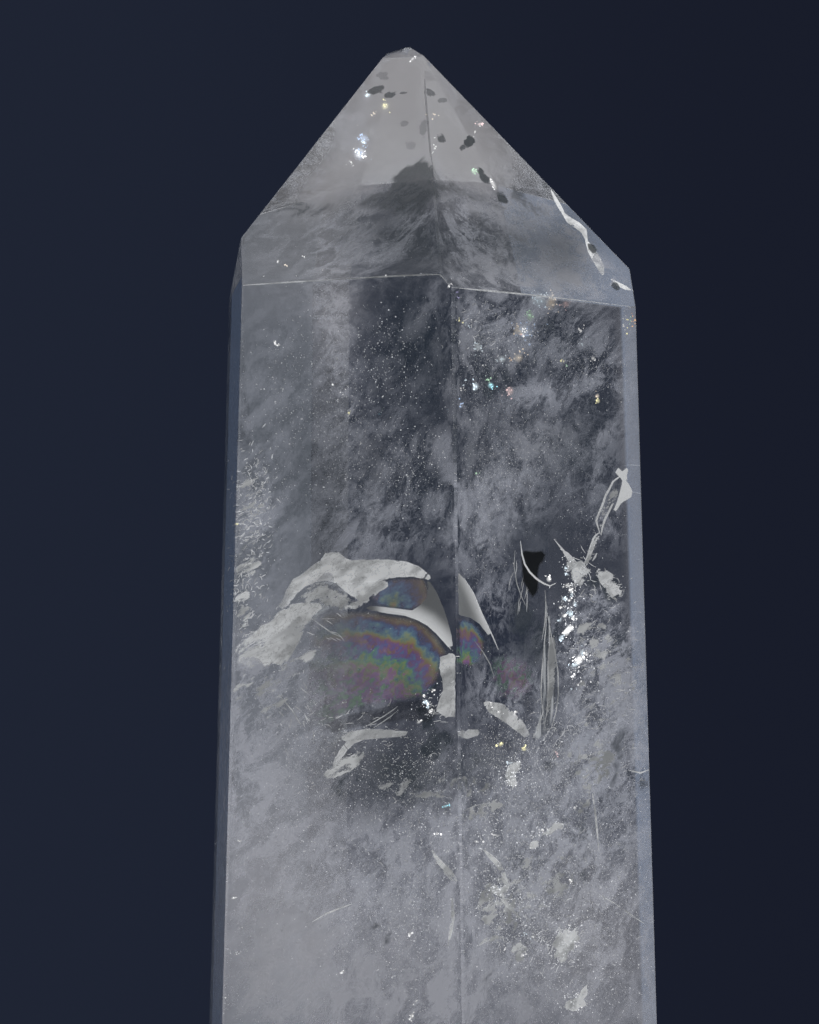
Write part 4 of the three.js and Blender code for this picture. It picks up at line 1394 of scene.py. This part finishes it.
# Painted glints, set as emission: pixel, width, height, depth, turn, brightness, tone.
GLINTS = [
    (525, 332, 17, 17, 1.9, 0, 0.30, BLUE), (524, 330, 9, 9, 1.9, 0, 0.9, WHITE),
    (522, 334, 5, 5, 1.9, 0, 0.6, PINK), (530, 316, 7, 11, 1.9, 0, 0.35, GREEN),
    (539, 300, 17, 13, 1.9, 10, 0.6, ICE), (551, 302, 10, 15, 1.9, 10, 0.55, WARM),
    (518.5, 358, 9, 9, 1.8, 0, 0.5, WARM), (510, 359, 4, 6, 1.8, 0, 0.3, ORANGE),
    (502, 359, 8, 7, 1.8, 30, 0.4, ICE), (475.5, 386.6, 6, 8, 1.7, 0, 1.4, ICE),
    (488, 380, 5, 9, 1.7, -15, 0.7, GREEN), (491, 385.6, 7, 6, 1.7, 30, 1.4, CYAN),
    (510, 391, 7, 9, 1.7, 0, 0.7, PINK), (460, 402, 8, 5, 1.7, 40, 0.6, BLUE),
    (465.5, 381, 4, 5, 1.7, 30, 0.5, ICE), (463, 389, 4, 5, 1.7, 0, 0.35, WHITE),
    (461, 321, 7, 4, 1.8, 30, 0.5, YELLOW), (467, 325, 6, 4, 1.8, 40, 0.5, ICE),
    (478, 347, 9, 7, 1.8, 40, 0.4, ICE), (484, 365, 4, 4, 1.7, 0, 0.5, WHITE), (517, 330, 8, 9, 1.8, 0, 0.3, WARM),
    (457.5, 293, 3, 10, 1.8, 0, 0.3, VIOLET), (562.5, 360, 5, 4, 1.7, 0, 0.5, YELLOW),
    (566, 367, 4, 4, 1.7, 0, 0.4, GREEN), (593, 358.5, 4, 4, 1.6, 0, 0.8, WHITE),
    (597.5, 396, 4, 5, 1.6, 0, 0.9, WARM), (598, 401, 4, 5, 1.6, 0, 1.0, YELLOW),
    (566, 304, 8, 7, 1.8, 0, 0.4, PINK), (580, 330, 5, 9, 1.7, 20, 0.35, WHITE),
    (582, 342, 5, 8, 1.7, 20, 0.35, ICE), (624, 322, 3, 17, 1.3, 0, 0.35, WHITE),
    (627, 322, 1.6, 16, 1.3, 0, 0.7, YELLOW), (630, 322, 1.8, 14, 1.3, 0, 0.6, GREEN),
    (632.5, 322, 2, 15, 1.3, 0, 0.6, ORANGE), (635, 321, 2, 10, 1.3, 0, 0.7, ORANGE),
    (412.6, 58.7, 2, 6, 0.9, 40, 1.4, WHITE), (367.5, 95, 6, 5, 0.9, 0, 1.3, ICE),
    (385, 106, 7, 7, 0.9, 0, 1.1, YELLOW), (374, 113, 20, 2.5, 0.9, -35, 0.49, WARM),
    (364, 138, 11, 7, 0.9, 20, 0.84, BLUE), (363, 141, 5, 4, 0.9, 0, 1.3, ICE),
    (359.8, 153, 13, 13, 0.9, 0, 0.49, BLUE), (359.8, 153, 9, 9, 0.9, 0, 2.5, WHITE),
    (351, 164, 9, 5, 0.9, 0, 0.56, WHITE), (435.7, 116, 9, 4, 0.9, 0, 0.56, WARM),
    (433.5, 147, 5, 9, 0.9, 0, 0.56, WHITE), (480, 124, 6, 3, 0.9, -20, 0.98, PINK),
    (475, 133, 2.5, 13, 0.9, 30, 0.42, WHITE), (474, 171, 6, 6, 0.9, 0, 1.1, GREEN),
    (493, 184, 4, 12, 0.9, -30, 0.98, WHITE), (549, 579, 5, 6, 1.4, 0, 1.6, WHITE),
    (565.5, 568, 3, 5, 1.4, 0, 0.9, ICE), (566.5, 574, 5, 3, 1.4, 20, 1.3, ICE),
    (567.5, 585.5, 5, 5, 1.4, 0, 0.9, WHITE), (571.4, 590, 4, 6, 1.4, -20, 1.2, WHITE),
    (572, 594, 3, 5, 1.4, 0, 1.0, ICE), (564.6, 599, 5, 4, 1.4, 30, 1.6, ICE),
    (569.4, 600, 4, 3, 1.4, 0, 1.0, WHITE), (575.3, 604, 6, 3, 1.4, 40, 1.1, ICE),
    (560.7, 607, 4, 3, 1.4, 0, 0.8, WHITE), (564.6, 615.7, 5, 4, 1.4, 0, 1.3, WHITE),
    (570.4, 613.7, 5, 7, 1.4, -20, 2.0, ICE), (573, 618, 4, 5, 1.4, -30, 1.6, WHITE),
    (559.7, 620.5, 4, 3, 1.4, 0, 1.0, ICE), (570, 628.3, 9, 7, 1.4, -30, 2.6, WHITE),
    (566, 632.5, 7, 6, 1.4, -30, 2.2, WHITE), (561.6, 638, 5, 7, 1.4, 30, 1.8, ICE),
    (579, 660, 8, 11, 1.4, 30, 2.4, WHITE), (575, 665, 8, 4, 1.4, -20, 1.8, ICE),
    (586, 654, 5, 4, 1.4, 0, 1.2, WHITE), (582, 652, 4, 7, 1.4, 30, 1.0, ICE), (573, 676, 3, 3, 1.4, 0, 1.6, WHITE),
    (582, 681, 16, 1.6, 1.4, 8, 0.7, WHITE), (580, 685, 15, 1.4, 1.4, 5, 0.6, WHITE),
    (576, 689, 9, 1.4, 1.4, 0, 0.5, ICE), (426, 702, 6, 5, 1.4, 20, 1.8, ICE),
    (431, 711, 6, 4, 1.4, -30, 1.6, WHITE), (424, 696, 4, 3, 1.4, 0, 1.0, WHITE),
    (428, 707, 3, 5, 1.4, 0, 1.3, ICE), (419, 722, 5, 3, 1.4, -30, 0.8, WHITE),
    (433, 690, 3, 3, 1.4, 0, 0.8, WHITE), (501, 744, 6, 4, 1.4, -30, 1.4, YELLOW),
    (524, 749, 5, 4, 1.4, 0, 1.6, YELLOW), (557, 754, 3, 3, 1.4, 0, 1.0, PINK),
    (514, 784, 7, 5, 1.4, 0, 2.2, WHITE), (516, 769, 6, 7, 1.4, 30, 1.3, WHITE), (510, 763, 4, 3, 1.4, 0, 0.9, ICE),
    (519, 763, 3, 6, 1.4, 20, 0.9, WHITE), (512, 770, 4, 4, 1.4, 0, 1.0, ICE), (491, 704, 3, 5, 1.4, 0, 1.0, WHITE),
    (499, 712, 4, 3, 1.4, 20, 1.0, WHITE), (516, 712, 4, 3, 1.4, 0, 0.9, WHITE),
    (497, 805, 7, 2.5, 1.4, 15, 1.1, PINK), (446, 806, 8, 2.5, 1.4, -20, 1.1, CYAN),
    (437, 834, 4, 2.5, 1.4, 0, 1.3, WHITE), (495, 835, 6, 2, 1.4, 0, 1.0, WHITE),
    (478, 842, 6, 3, 1.4, -10, 0.7, WHITE), (540, 832, 12, 6, 1.4, -30, 0.6, WHITE),
    (534, 846, 6, 5, 1.4, -30, 0.9, WHITE), (500, 893, 6, 7, 1.4, 0, 0.9, WHITE),
    (495, 888, 4, 4, 1.4, 0, 0.9, ICE), (503, 889, 4, 4, 1.4, 0, 0.8, WHITE), (571, 881, 4, 4, 1.4, 0, 1.0, WHITE),
    (575, 808, 3, 3, 1.4, 0, 0.8, WHITE), (457, 938, 3, 3, 1.3, 0, 0.6, WHITE),
    (566, 942, 14, 20, 1.3, 30, 1.1, WHITE), (561, 950, 8, 14, 1.3, 20, 0.9, WHITE),
    (571, 936, 10, 8, 1.3, -20, 0.7, ICE), (574, 1007, 12, 6, 1.3, 0, 0.8, WHITE),
    (577, 1000, 4, 8, 1.3, 20, 0.6, WHITE), (521, 955, 6, 5, 1.4, 0, 0.8, WHITE),
    (524, 935, 7, 4, 1.4, 0, 0.6, ICE), (534, 936, 5, 4, 1.4, 0, 0.6, WHITE), (503, 948, 5, 7, 1.4, 20, 0.6, WHITE),
    (410, 934, 4, 3, 1.3, 0, 0.9, WHITE), (342, 972, 6, 2.5, 1.3, -30, 0.9, WHITE),
    (412, 1016, 4, 7, 1.3, 20, 0.9, WHITE), (416, 1003, 2.5, 12, 1.3, 10, 0.5, WHITE),
    (234, 898, 6, 2.5, 1.2, -10, 0.9, WHITE), (240, 841, 3, 2, 1.2, 0, 0.8, WHITE),
    (227, 999, 3, 2.5, 1.2, 0, 0.6, WHITE), (241, 953, 12, 3, 1.2, 0, 0.5, WHITE),
    (275, 343, 2.5, 6, 1.2, -20, 1.0, WHITE), (278, 345, 5, 2, 1.2, 0, 1.0, WHITE),
    (237, 524, 3, 2, 0.8, 0, 0.9, YELLOW), (251, 524, 28, 1.2, 1.4, 0, 0.5, WHITE),
    (333, 385, 2, 2, 1.3, 0, 1.0, WHITE), (343, 392, 8, 2.5, 1.3, -30, 0.5, WHITE),
    (349, 413, 4, 5, 1.3, 30, 0.5, YELLOW), (449, 286, 2, 5, 0.8, 30, 0.9, WHITE),
    (278, 261, 2.5, 2.5, 1.2, 0, 0.8, WHITE), (303, 257, 2, 2, 1.2, 0, 0.7, WHITE),
    (286, 266, 2.5, 1.5, 1.2, 0, 0.6, WARM), (386, 276, 2, 1.5, 1, 0, 0.6, WHITE),
    (477, 473, 3, 3, 1.4, 0, 0.4, GREEN),
]

# White splashes down the right slope of the point: paths of pixels and their widths.
SLOPE_SPLASHES = [
    ([(551, 190), (556, 200), (561, 209), (566, 217)], 4),
    ([(562, 212), (569, 220), (577, 225), (584, 231), (587, 241)], 7),
    ([(586, 240), (591, 250), (597, 260), (601, 268), (603, 275)], 8),
    ([(611, 279), (618, 284), (626, 288), (631, 290)], 4),
]

# Small dark voids in the point: pixel, width, height, depth, turn, density.
FLECKS = [
    (378, 90, 22, 9, 0.8, -18, 0.78), (382, 76, 14, 14, 0.8, 0, 0.33), (392, 95, 20, 8, 0.8, -15, 0.78),
    (403, 93, 14, 4, 0.8, -5, 0.65), (430, 93, 18, 8, 0.8, 15, 0.65), (443, 100, 11, 7, 0.8, 0, 0.52),
    (440, 139, 13, 13, 0.8, 0, 0.78), (424, 127, 12, 22, 0.8, 10, 0.39), (404, 124, 14, 8, 0.8, -20, 0.36),
    (411, 146, 14, 11, 0.8, 0, 0.26), (469, 143, 12, 19, 0.8, 35, 0.95), (463, 148, 9, 8, 0.8, 0, 0.85),
    (483, 176, 10, 22, 0.8, -35, 0.91), (502, 199, 12, 22, 0.8, -45, 0.95), (592, 248, 9, 16, 0.8, -30, 0.91),
    (616, 287, 8, 14, 0.8, -40, 0.85), (545, 185, 9, 8, 0.8, 0, 0.45),
]

# A painted dark hairline where the point's two front faces meet, above the clouds.
RIDGE_LINE = [(423.4, 76), (424.8, 92), (426.5, 112), (428.2, 132), (429.8, 150), (431.2, 166)]

# Swarms of faint dust, bright as painted glints: pixel, width, height, depth, turn, count, brightness.
GLINT_DUST = [
    (252, 520, 50, 150, 1.5, 0, 120, 0.30), (390, 360, 70, 110, 2, 10, 170, 0.42),
    (500, 350, 110, 110, 4, 0, 160, 0.32), (400, 470, 120, 110, 2, 0, 220, 0.34),
    (520, 460, 140, 120, 3, 0, 110, 0.24), (571, 602, 22, 80, 1.8, 0, 160, 0.85),
    (582, 664, 22, 36, 1.8, 30, 80, 0.80), (370, 765, 160, 80, 2, 0, 300, 0.24),
    (510, 790, 160, 110, 2, 0, 360, 0.46), (300, 880, 150, 220, 2, 0, 200, 0.30),
    (296, 420, 110, 260, 2, 0, 260, 0.20), (600, 650, 70, 120, 1.6, 0, 160, 0.40),
    (440, 880, 220, 200, 2, 0, 420, 0.40), (560, 890, 150, 200, 2, 0, 420, 0.46),
    (430, 705, 24, 40, 2, 0, 40, 0.55), (560, 740, 90, 60, 3, 0, 80, 0.34), (566, 942, 30, 44, 0.8, 25, 170, 0.60),
    (576, 1000, 30, 24, 0.8, -30, 80, 0.55), (498, 889, 18, 14, 0.8, 0, 80, 0.75),
    (512, 776, 16, 26, 0.8, 20, 90, 0.85), (505, 905, 60, 50, 1.2, 0, 180, 0.50),
    (540, 935, 70, 70, 1.2, 0, 220, 0.48), (470, 850, 90, 60, 1.2, 0, 180, 0.42),
    (430, 940, 90, 110, 1.4, 0, 220, 0.38), (600, 970, 90, 80, 1.4, 0, 160, 0.40),
    (545, 830, 40, 16, 0.9, -24, 60, 0.60),
]

# Swarms of short strokes, bright by painted glow: pixel, width, height, depth, turn, count, length in pixels,
# brightness.
THREADS = [
    (256, 480, 34, 60, 1.0, 60, 70, 5, 0.32), (250, 530, 34, 80, 1.0, 20, 110, 5, 0.34),
    (245, 590, 26, 70, 1.0, 70, 80, 5, 0.32), (262, 640, 50, 50, 1.6, 40, 30, 5, 0.20),
    (296, 705, 40, 70, 2, -60, 16, 8, 0.20), (325, 630, 40, 30, 2, -30, 10, 10, 0.20),
    (380, 762, 140, 60, 2, 20, 40, 5, 0.16), (350, 722, 70, 20, 2, 30, 14, 7, 0.20),
    (450, 810, 170, 100, 2.2, 30, 50, 5, 0.18), (500, 880, 170, 120, 2.2, -40, 60, 5, 0.20),
    (560, 945, 40, 50, 1.6, 60, 40, 6, 0.36), (606, 850, 80, 220, 2, 70, 40, 6, 0.14),
    (600, 655, 80, 110, 1.8, 30, 60, 6, 0.18), (600, 735, 80, 80, 2, 20, 40, 7, 0.20),
    (548, 745, 60, 50, 2, 60, 40, 6, 0.26), (521, 580, 16, 60, 1.8, 84, 16, 16, 0.20),
    (480, 325, 60, 60, 3, 40, 30, 5, 0.24), (575, 562, 26, 30, 1.8, -50, 26, 8, 0.34),
    (596, 590, 44, 26, 2, -30, 40, 6, 0.26), (440, 705, 24, 34, 1.4, 30, 30, 6, 0.30),
]
THREAD_WIDTH = 0.7  # pixels
GLINT_SPREAD = 1.2
# Painted glow: a soft spot of a glint's own tone round the bright and the wide glints.
GLOW = 0.45  # of a glint's brightness, round it
BRIGHT_GLINT = 0.8  # glints as bright as this glow
SOFT_GLINT = 8.0  # pixels: so do glints as wide as this, bright or not
GLINT_SHARD = 2.2  # pixels
GLINT_DUST_SHARD = 1.4
GLINT_SEED = 11
SHARD_ROOM = 9  # square pixels of a glint for each of its shards


def fleck_material():
    """A small dark void, seen against the bright floor below."""
    material, r = new_material("dark_fleck")
    edge = r.cloud(r.place(), 0.9 * MM, detail=4)
    fleck = r.add("ShaderNodeBsdfPrincipled", sockets={
        "Base Color": grey(0.03, -0.25),
        "Roughness": 0.5,
        "Alpha": r.rise(r.attribute("rim") + (edge - 0.5) * 2.2, 0.12, 0.45) * r.attribute("cover"),
    })
    r.finish(fleck)
    return material


def glint_material(settings):
    """A facet of a void that throws a lamp's light at the eye, white or split into colours: a painted glint."""
    material, r = new_material("glint")
    channels = [r.attribute(name) for name in ("red", "green", "blue")]
    tone = r.add("ShaderNodeCombineColor", sockets=dict(enumerate(channels)))
    glint = r.add("ShaderNodeBsdfPrincipled", sockets={
        "Base Color": grey(0.5),
        "Roughness": 0.3,
        "Emission Color": tone,
        "Emission Strength": settings.glint_strength,
        "Alpha": r.attribute("rim"),
    })
    r.finish(glint)
    return material


def build_flecks():
    """The dark voids in the point, and a painted dark line under its ridge."""
    flecks = Sheets("rim", "cover")
    for px, py, width, height, depth, turn, cover in FLECKS:
        flecks.spot(px, py, width, height, depth, turn, rings=4, spokes=14, cover=cover)
    flecks.ribbon(RIDGE_LINE, 1.4, 0.3, cover=0.25)
    flecks.piece("dark_flecks", fleck_material())


def build_glints(settings):
    """Painted glints with their painted glow, and swarms of dust and short strokes lit by painted glow."""
    dice = np.random.default_rng(GLINT_SEED)
    glints = Sheets("rim", "red", "green", "blue")
    for px, py, width, height, depth, turn, bright, tone in GLINTS:
        red, green, blue = (bright * channel for channel in tone)
        count = 2 + int(width * height / SHARD_ROOM)
        width, height = GLINT_SPREAD * width, GLINT_SPREAD * height
        glints.swarm(px, py, width, height, depth, turn, count, GLINT_SHARD, dice, red=red, green=green, blue=blue)
        if bright >= BRIGHT_GLINT or min(width, height) >= SOFT_GLINT:
            glow = {"red": GLOW * red, "green": GLOW * green, "blue": GLOW * blue}
            glints.spot(px, py, width, height, depth + 0.05, turn, rings=3, spokes=8, **glow)
    for px, py, width, height, depth, turn, count, bright in GLINT_DUST:
        for _ in range(count):
            light = bright * dice.uniform(0.3, 1.5)
            tone = {"red": light * 0.97, "green": light, "blue": light * 1.05}
            glints.swarm(px, py, width, height, depth * dice.uniform(0.6, 1.4), turn, 1, GLINT_DUST_SHARD, dice, **tone)
    for px, py, width, height, depth, turn, count, span, bright in THREADS:
        tone = {"red": bright * 0.97, "green": bright, "blue": bright * 1.05}
        glints.threads(px, py, width, height, depth, turn, count, span, dice, **tone)
    glints.piece("glints", glint_material(settings))


# ---------------------------------------------------------------- stage


def area_lamp(name, place, aim, size, power):
    """A soft lamp that isn't seen itself, in the stone either."""
    light = bpy.data.lights.new(name, "AREA")
    light.shape = "RECTANGLE"
    light.size, light.size_y = size
    light.energy = power
    lamp = bpy.data.objects.new(name, light)
    lamp.location = place
    lamp.rotation_euler = (Vector(aim) - Vector(place)).to_track_quat("-Z", "Y").to_euler()
    lamp.visible_camera = False
    lamp.visible_glossy = False
    lamp.visible_transmission = False
    bpy.context.scene.collection.objects.link(lamp)


def studio_world(settings):
    """A dark card behind the stone and soft light all round the rest."""
    world = bpy.data.worlds.new("studio")
    world.use_nodes = True
    bpy.context.scene.world = world
    r = Recipe(world.node_tree)
    way = r.add("ShaderNodeTexCoord", output="Generated")
    back = r.part(way, "Y")
    up = r.part(way, "Z")
    side = r.part(way, "X")
    card = r.rise(back, 0.58, 0.69)
    low = r.mix(r.rise(side, -0.6, 0.0), settings.room_left, settings.room_low)
    room = r.mix(r.rise(up, 0.1, 0.9), low, settings.room_high)
    edge = r.mix(r.rise(back, 0.30, 0.5), room, settings.card_edge)
    seen_inside = r.mix(card, edge, settings.card)
    backdrop = r.mix(r.rise(side, -0.08, 0.08), settings.backdrop_left, settings.backdrop_right)
    camera = r.add("ShaderNodeLightPath", output="Is Camera Ray")
    colour = r.mix(camera, seen_inside, backdrop)
    light = r.add("ShaderNodeBackground", sockets={"Color": colour, "Strength": 1.0})
    r.add("ShaderNodeOutputWorld", sockets={"Surface": light})


def floor_material():
    material, r = new_material("pale_floor")
    place = r.place()
    mottle = r.cloud(place, 40 * MM, detail=4)
    floor = r.add("ShaderNodeBsdfPrincipled", sockets={
        "Base Color": r.mix(mottle, grey(0.60, 0.02), grey(0.66, 0.02)),
        "Roughness": 0.75,
    })
    r.finish(floor)
    return material


FLOOR_GAP = 0.02 * MM
LAMP_AIM = (0, 0, 55 * MM)


def build_stage(settings):
    """The floor, the room, the lamps and the camera."""
    scene = bpy.context.scene
    bm = bmesh.new()
    bmesh.ops.create_circle(bm, cap_ends=True, segments=96, radius=settings.floor_radius)
    bmesh.ops.translate(bm, vec=(0, 0, -FLOOR_GAP), verts=bm.verts)
    mesh = bpy.data.meshes.new("floor")
    bm.to_mesh(mesh)
    bm.free()
    floor = bpy.data.objects.new("floor", mesh)
    scene.collection.objects.link(floor)
    mesh.materials.append(floor_material())

    studio_world(settings)
    area_lamp("overhead", (0.05, -0.10, 0.70), LAMP_AIM, (0.6, 0.6), settings.overhead)
    area_lamp("left_front", (-0.55, -0.45, 0.25), LAMP_AIM, (0.4, 0.5), settings.left_front)
    area_lamp("right_side", (0.60, -0.10, 0.30), LAMP_AIM, (0.3, 0.5), settings.right_side)

    lens = bpy.data.cameras.new("camera")
    lens.sensor_width = SENSOR_MM
    lens.lens = FOCAL_PX * SENSOR_MM / VIEW_HEIGHT
    camera = bpy.data.objects.new("camera", lens)
    camera.location = sight.eye
    camera.rotation_euler = sight.ahead.to_track_quat("-Z", "Y").to_euler()
    scene.collection.objects.link(camera)
    scene.camera = camera

    scene.view_settings.view_transform = "Standard"
    scene.cycles.use_denoising = True
    scene.cycles.adaptive_threshold = 0.04
    scene.cycles.use_light_tree = False
    scene.cycles.caustics_reflective = False
    scene.cycles.caustics_refractive = False
    scene.cycles.max_bounces = 14
    scene.cycles.transmission_bounces = 14
    scene.cycles.glossy_bounces = 8
    scene.cycles.diffuse_bounces = 0
    scene.cycles.transparent_max_bounces = 48


# ---------------------------------------------------------------- settings, operators and panel


def length(name, description, default):
    return bpy.props.FloatProperty(name=name, description=description, default=default, unit="LENGTH", precision=5)


def angle(name, description, default):
    return bpy.props.FloatProperty(name=name, description=description, default=default, subtype="ANGLE")


def amount(name, description, default):
    return bpy.props.FloatProperty(name=name, description=description, default=default, min=0)


def colour(name, description, default):
    return bpy.props.FloatVectorProperty(name=name, description=description, default=default, size=4, subtype="COLOR")


class StoneSettings(bpy.types.PropertyGroup):
    edge_wear: length("Edge wear", "Width of the rounding that handling gives an edge", 0.08 * MM)
    roll_width: length("Roll width", "How far from its right edge the front right face bends over", 1.85 * MM)
    roll_tilt: angle("Roll tilt", "How far that face is tipped where it ends", math.radians(7.4))
    stone_tint: colour("Tint", "What the stone's own colour lets through", (0.90, 0.93, 0.97, 1.0))
    stone_density: amount("Absorption", "How fast the tint deepens, for each metre", 12.0)


class VeilSettings(bpy.types.PropertyGroup):
    milk: amount("Milk", "How opaque one sheet of the milky part is", 0.27)
    wisps: amount("Wisps", "Strength of the thin clouds in the clear part", 0.12)
    milk_top: length("Milk top", "Height at which the milk begins", 58 * MM)
    clouds: amount("Clouds", "Strength of the clouds near the front faces", 1.0)
    frost: amount("Frost", "How much of the clouds near the front faces is fine frost", 1.0)
    flake_count: amount("Flakes", "Frost flakes to a square metre of a veil that is frosted all over", 6e7)
    flake_size: length("Flake size", "Half the length of a usual frost flake", 0.055 * MM)
    glint_strength: amount("Glints", "Brightness of the glints", 1.0)


class StageSettings(bpy.types.PropertyGroup):
    floor_radius: length("Floor radius", "Radius of the pale floor", 0.13)
    overhead: amount("Overhead lamp", "Power of the lamp above, in watts", 4.0)
    left_front: amount("Left lamp", "Power of the lamp at the front left, in watts", 2.0)
    right_side: amount("Right lamp", "Power of the lamp at the right, in watts", 1.5)
    room_low: colour("Room below", "Light from the room near the floor", (0.125, 0.135, 0.155, 1.0))
    room_left: colour("Room at the left", "The same light, at the left", (0.160, 0.164, 0.182, 1.0))
    room_high: colour("Room above", "Light from the room's ceiling", grey(0.40))
    card: colour("Card", "The dark card behind the stone", (0.012, 0.017, 0.032, 1.0))
    card_edge: colour("Card's edge", "Where the dark card fades into the room", (0.16, 0.21, 0.31, 1.0))
    backdrop_left: colour("Backdrop left", "The backdrop's colour at the left", (0.0137, 0.0180, 0.0330, 1.0))
    backdrop_right: colour("Backdrop right", "The backdrop's colour at the right", (0.0095, 0.0120, 0.0230, 1.0))


class QUARTZ_OT_stone(bpy.types.Operator):
    """Polish the stone: worn edges, one rolled edge and clear quartz"""

    bl_idname = "quartz.stone"
    bl_label = "Polished stone"

    def execute(self, context):
        build_stone(context.scene.quartz_stone)
        return {"FINISHED"}


class QUARTZ_OT_milk(bpy.types.Operator):
    """Cloud the lower part of the stone and add thin wisps above"""

    bl_idname = "quartz.milk"
    bl_label = "Milky veils"

    def execute(self, context):
        build_milk(context.scene.quartz_veils)
        return {"FINISHED"}


class QUARTZ_OT_cracks(bpy.types.Operator):
    """Open the arched crack with its silver edge, its rainbow and its painted dark gap"""

    bl_idname = "quartz.cracks"
    bl_label = "Cracks"

    def execute(self, context):
        build_cracks()
        return {"FINISHED"}


class QUARTZ_OT_needle(bpy.types.Operator):
    """Add the white needle and the splashes at its foot"""

    bl_idname = "quartz.needle"
    bl_label = "White needle"

    def execute(self, context):
        build_needle()
        return {"FINISHED"}


class QUARTZ_OT_clouds(bpy.types.Operator):
    """Add the clouds, the frost and its flakes, and the painted dark patches and shade near the front faces"""

    bl_idname = "quartz.clouds"
    bl_label = "Clouds and frost"

    def execute(self, context):
        build_layers(context.scene.quartz_veils)
        return {"FINISHED"}


class QUARTZ_OT_glints(bpy.types.Operator):
    """Add the dark flecks and the glints"""

    bl_idname = "quartz.glints"
    bl_label = "Flecks and glints"

    def execute(self, context):
        build_flecks()
        build_glints(context.scene.quartz_veils)
        return {"FINISHED"}


class QUARTZ_OT_stage(bpy.types.Operator):
    """Set the floor, the lamps, the room and the camera"""

    bl_idname = "quartz.stage"
    bl_label = "Stage"

    def execute(self, context):
        build_stage(context.scene.quartz_stage)
        return {"FINISHED"}


OPERATORS = (
    QUARTZ_OT_stone, QUARTZ_OT_milk, QUARTZ_OT_cracks, QUARTZ_OT_needle, QUARTZ_OT_clouds, QUARTZ_OT_glints,
    QUARTZ_OT_stage,
)


class QUARTZ_PT_panel(bpy.types.Panel):
    """The quartz tower's pieces and their sizes"""

    bl_idname = "QUARTZ_PT_panel"
    bl_label = "Clear quartz tower"
    bl_space_type = "VIEW_3D"
    bl_region_type = "UI"
    bl_category = "Quartz"

    def draw(self, context):
        for operator in OPERATORS:
            self.layout.operator(operator.bl_idname)
        for group in SETTINGS:
            box = self.layout.box()
            values = getattr(context.scene, group)
            for name in values.__annotations__:
                box.prop(values, name)


SETTINGS = {"quartz_stone": StoneSettings, "quartz_veils": VeilSettings, "quartz_stage": StageSettings}


def register():
    for name, group in SETTINGS.items():
        bpy.utils.register_class(group)
        setattr(bpy.types.Scene, name, bpy.props.PointerProperty(type=group))
    for cls in (*OPERATORS, QUARTZ_PT_panel):
        bpy.utils.register_class(cls)


def unregister():
    for cls in (QUARTZ_PT_panel, *reversed(OPERATORS)):
        bpy.utils.unregister_class(cls)
    for name, group in SETTINGS.items():
        delattr(bpy.types.Scene, name)
        bpy.utils.unregister_class(group)


def main():
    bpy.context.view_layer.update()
    register()
    bpy.ops.quartz.stone()
    bpy.ops.quartz.milk()
    bpy.ops.quartz.cracks()
    bpy.ops.quartz.needle()
    bpy.ops.quartz.clouds()
    bpy.ops.quartz.glints()
    bpy.ops.quartz.stage()


if __name__ == "__main__":
    main()
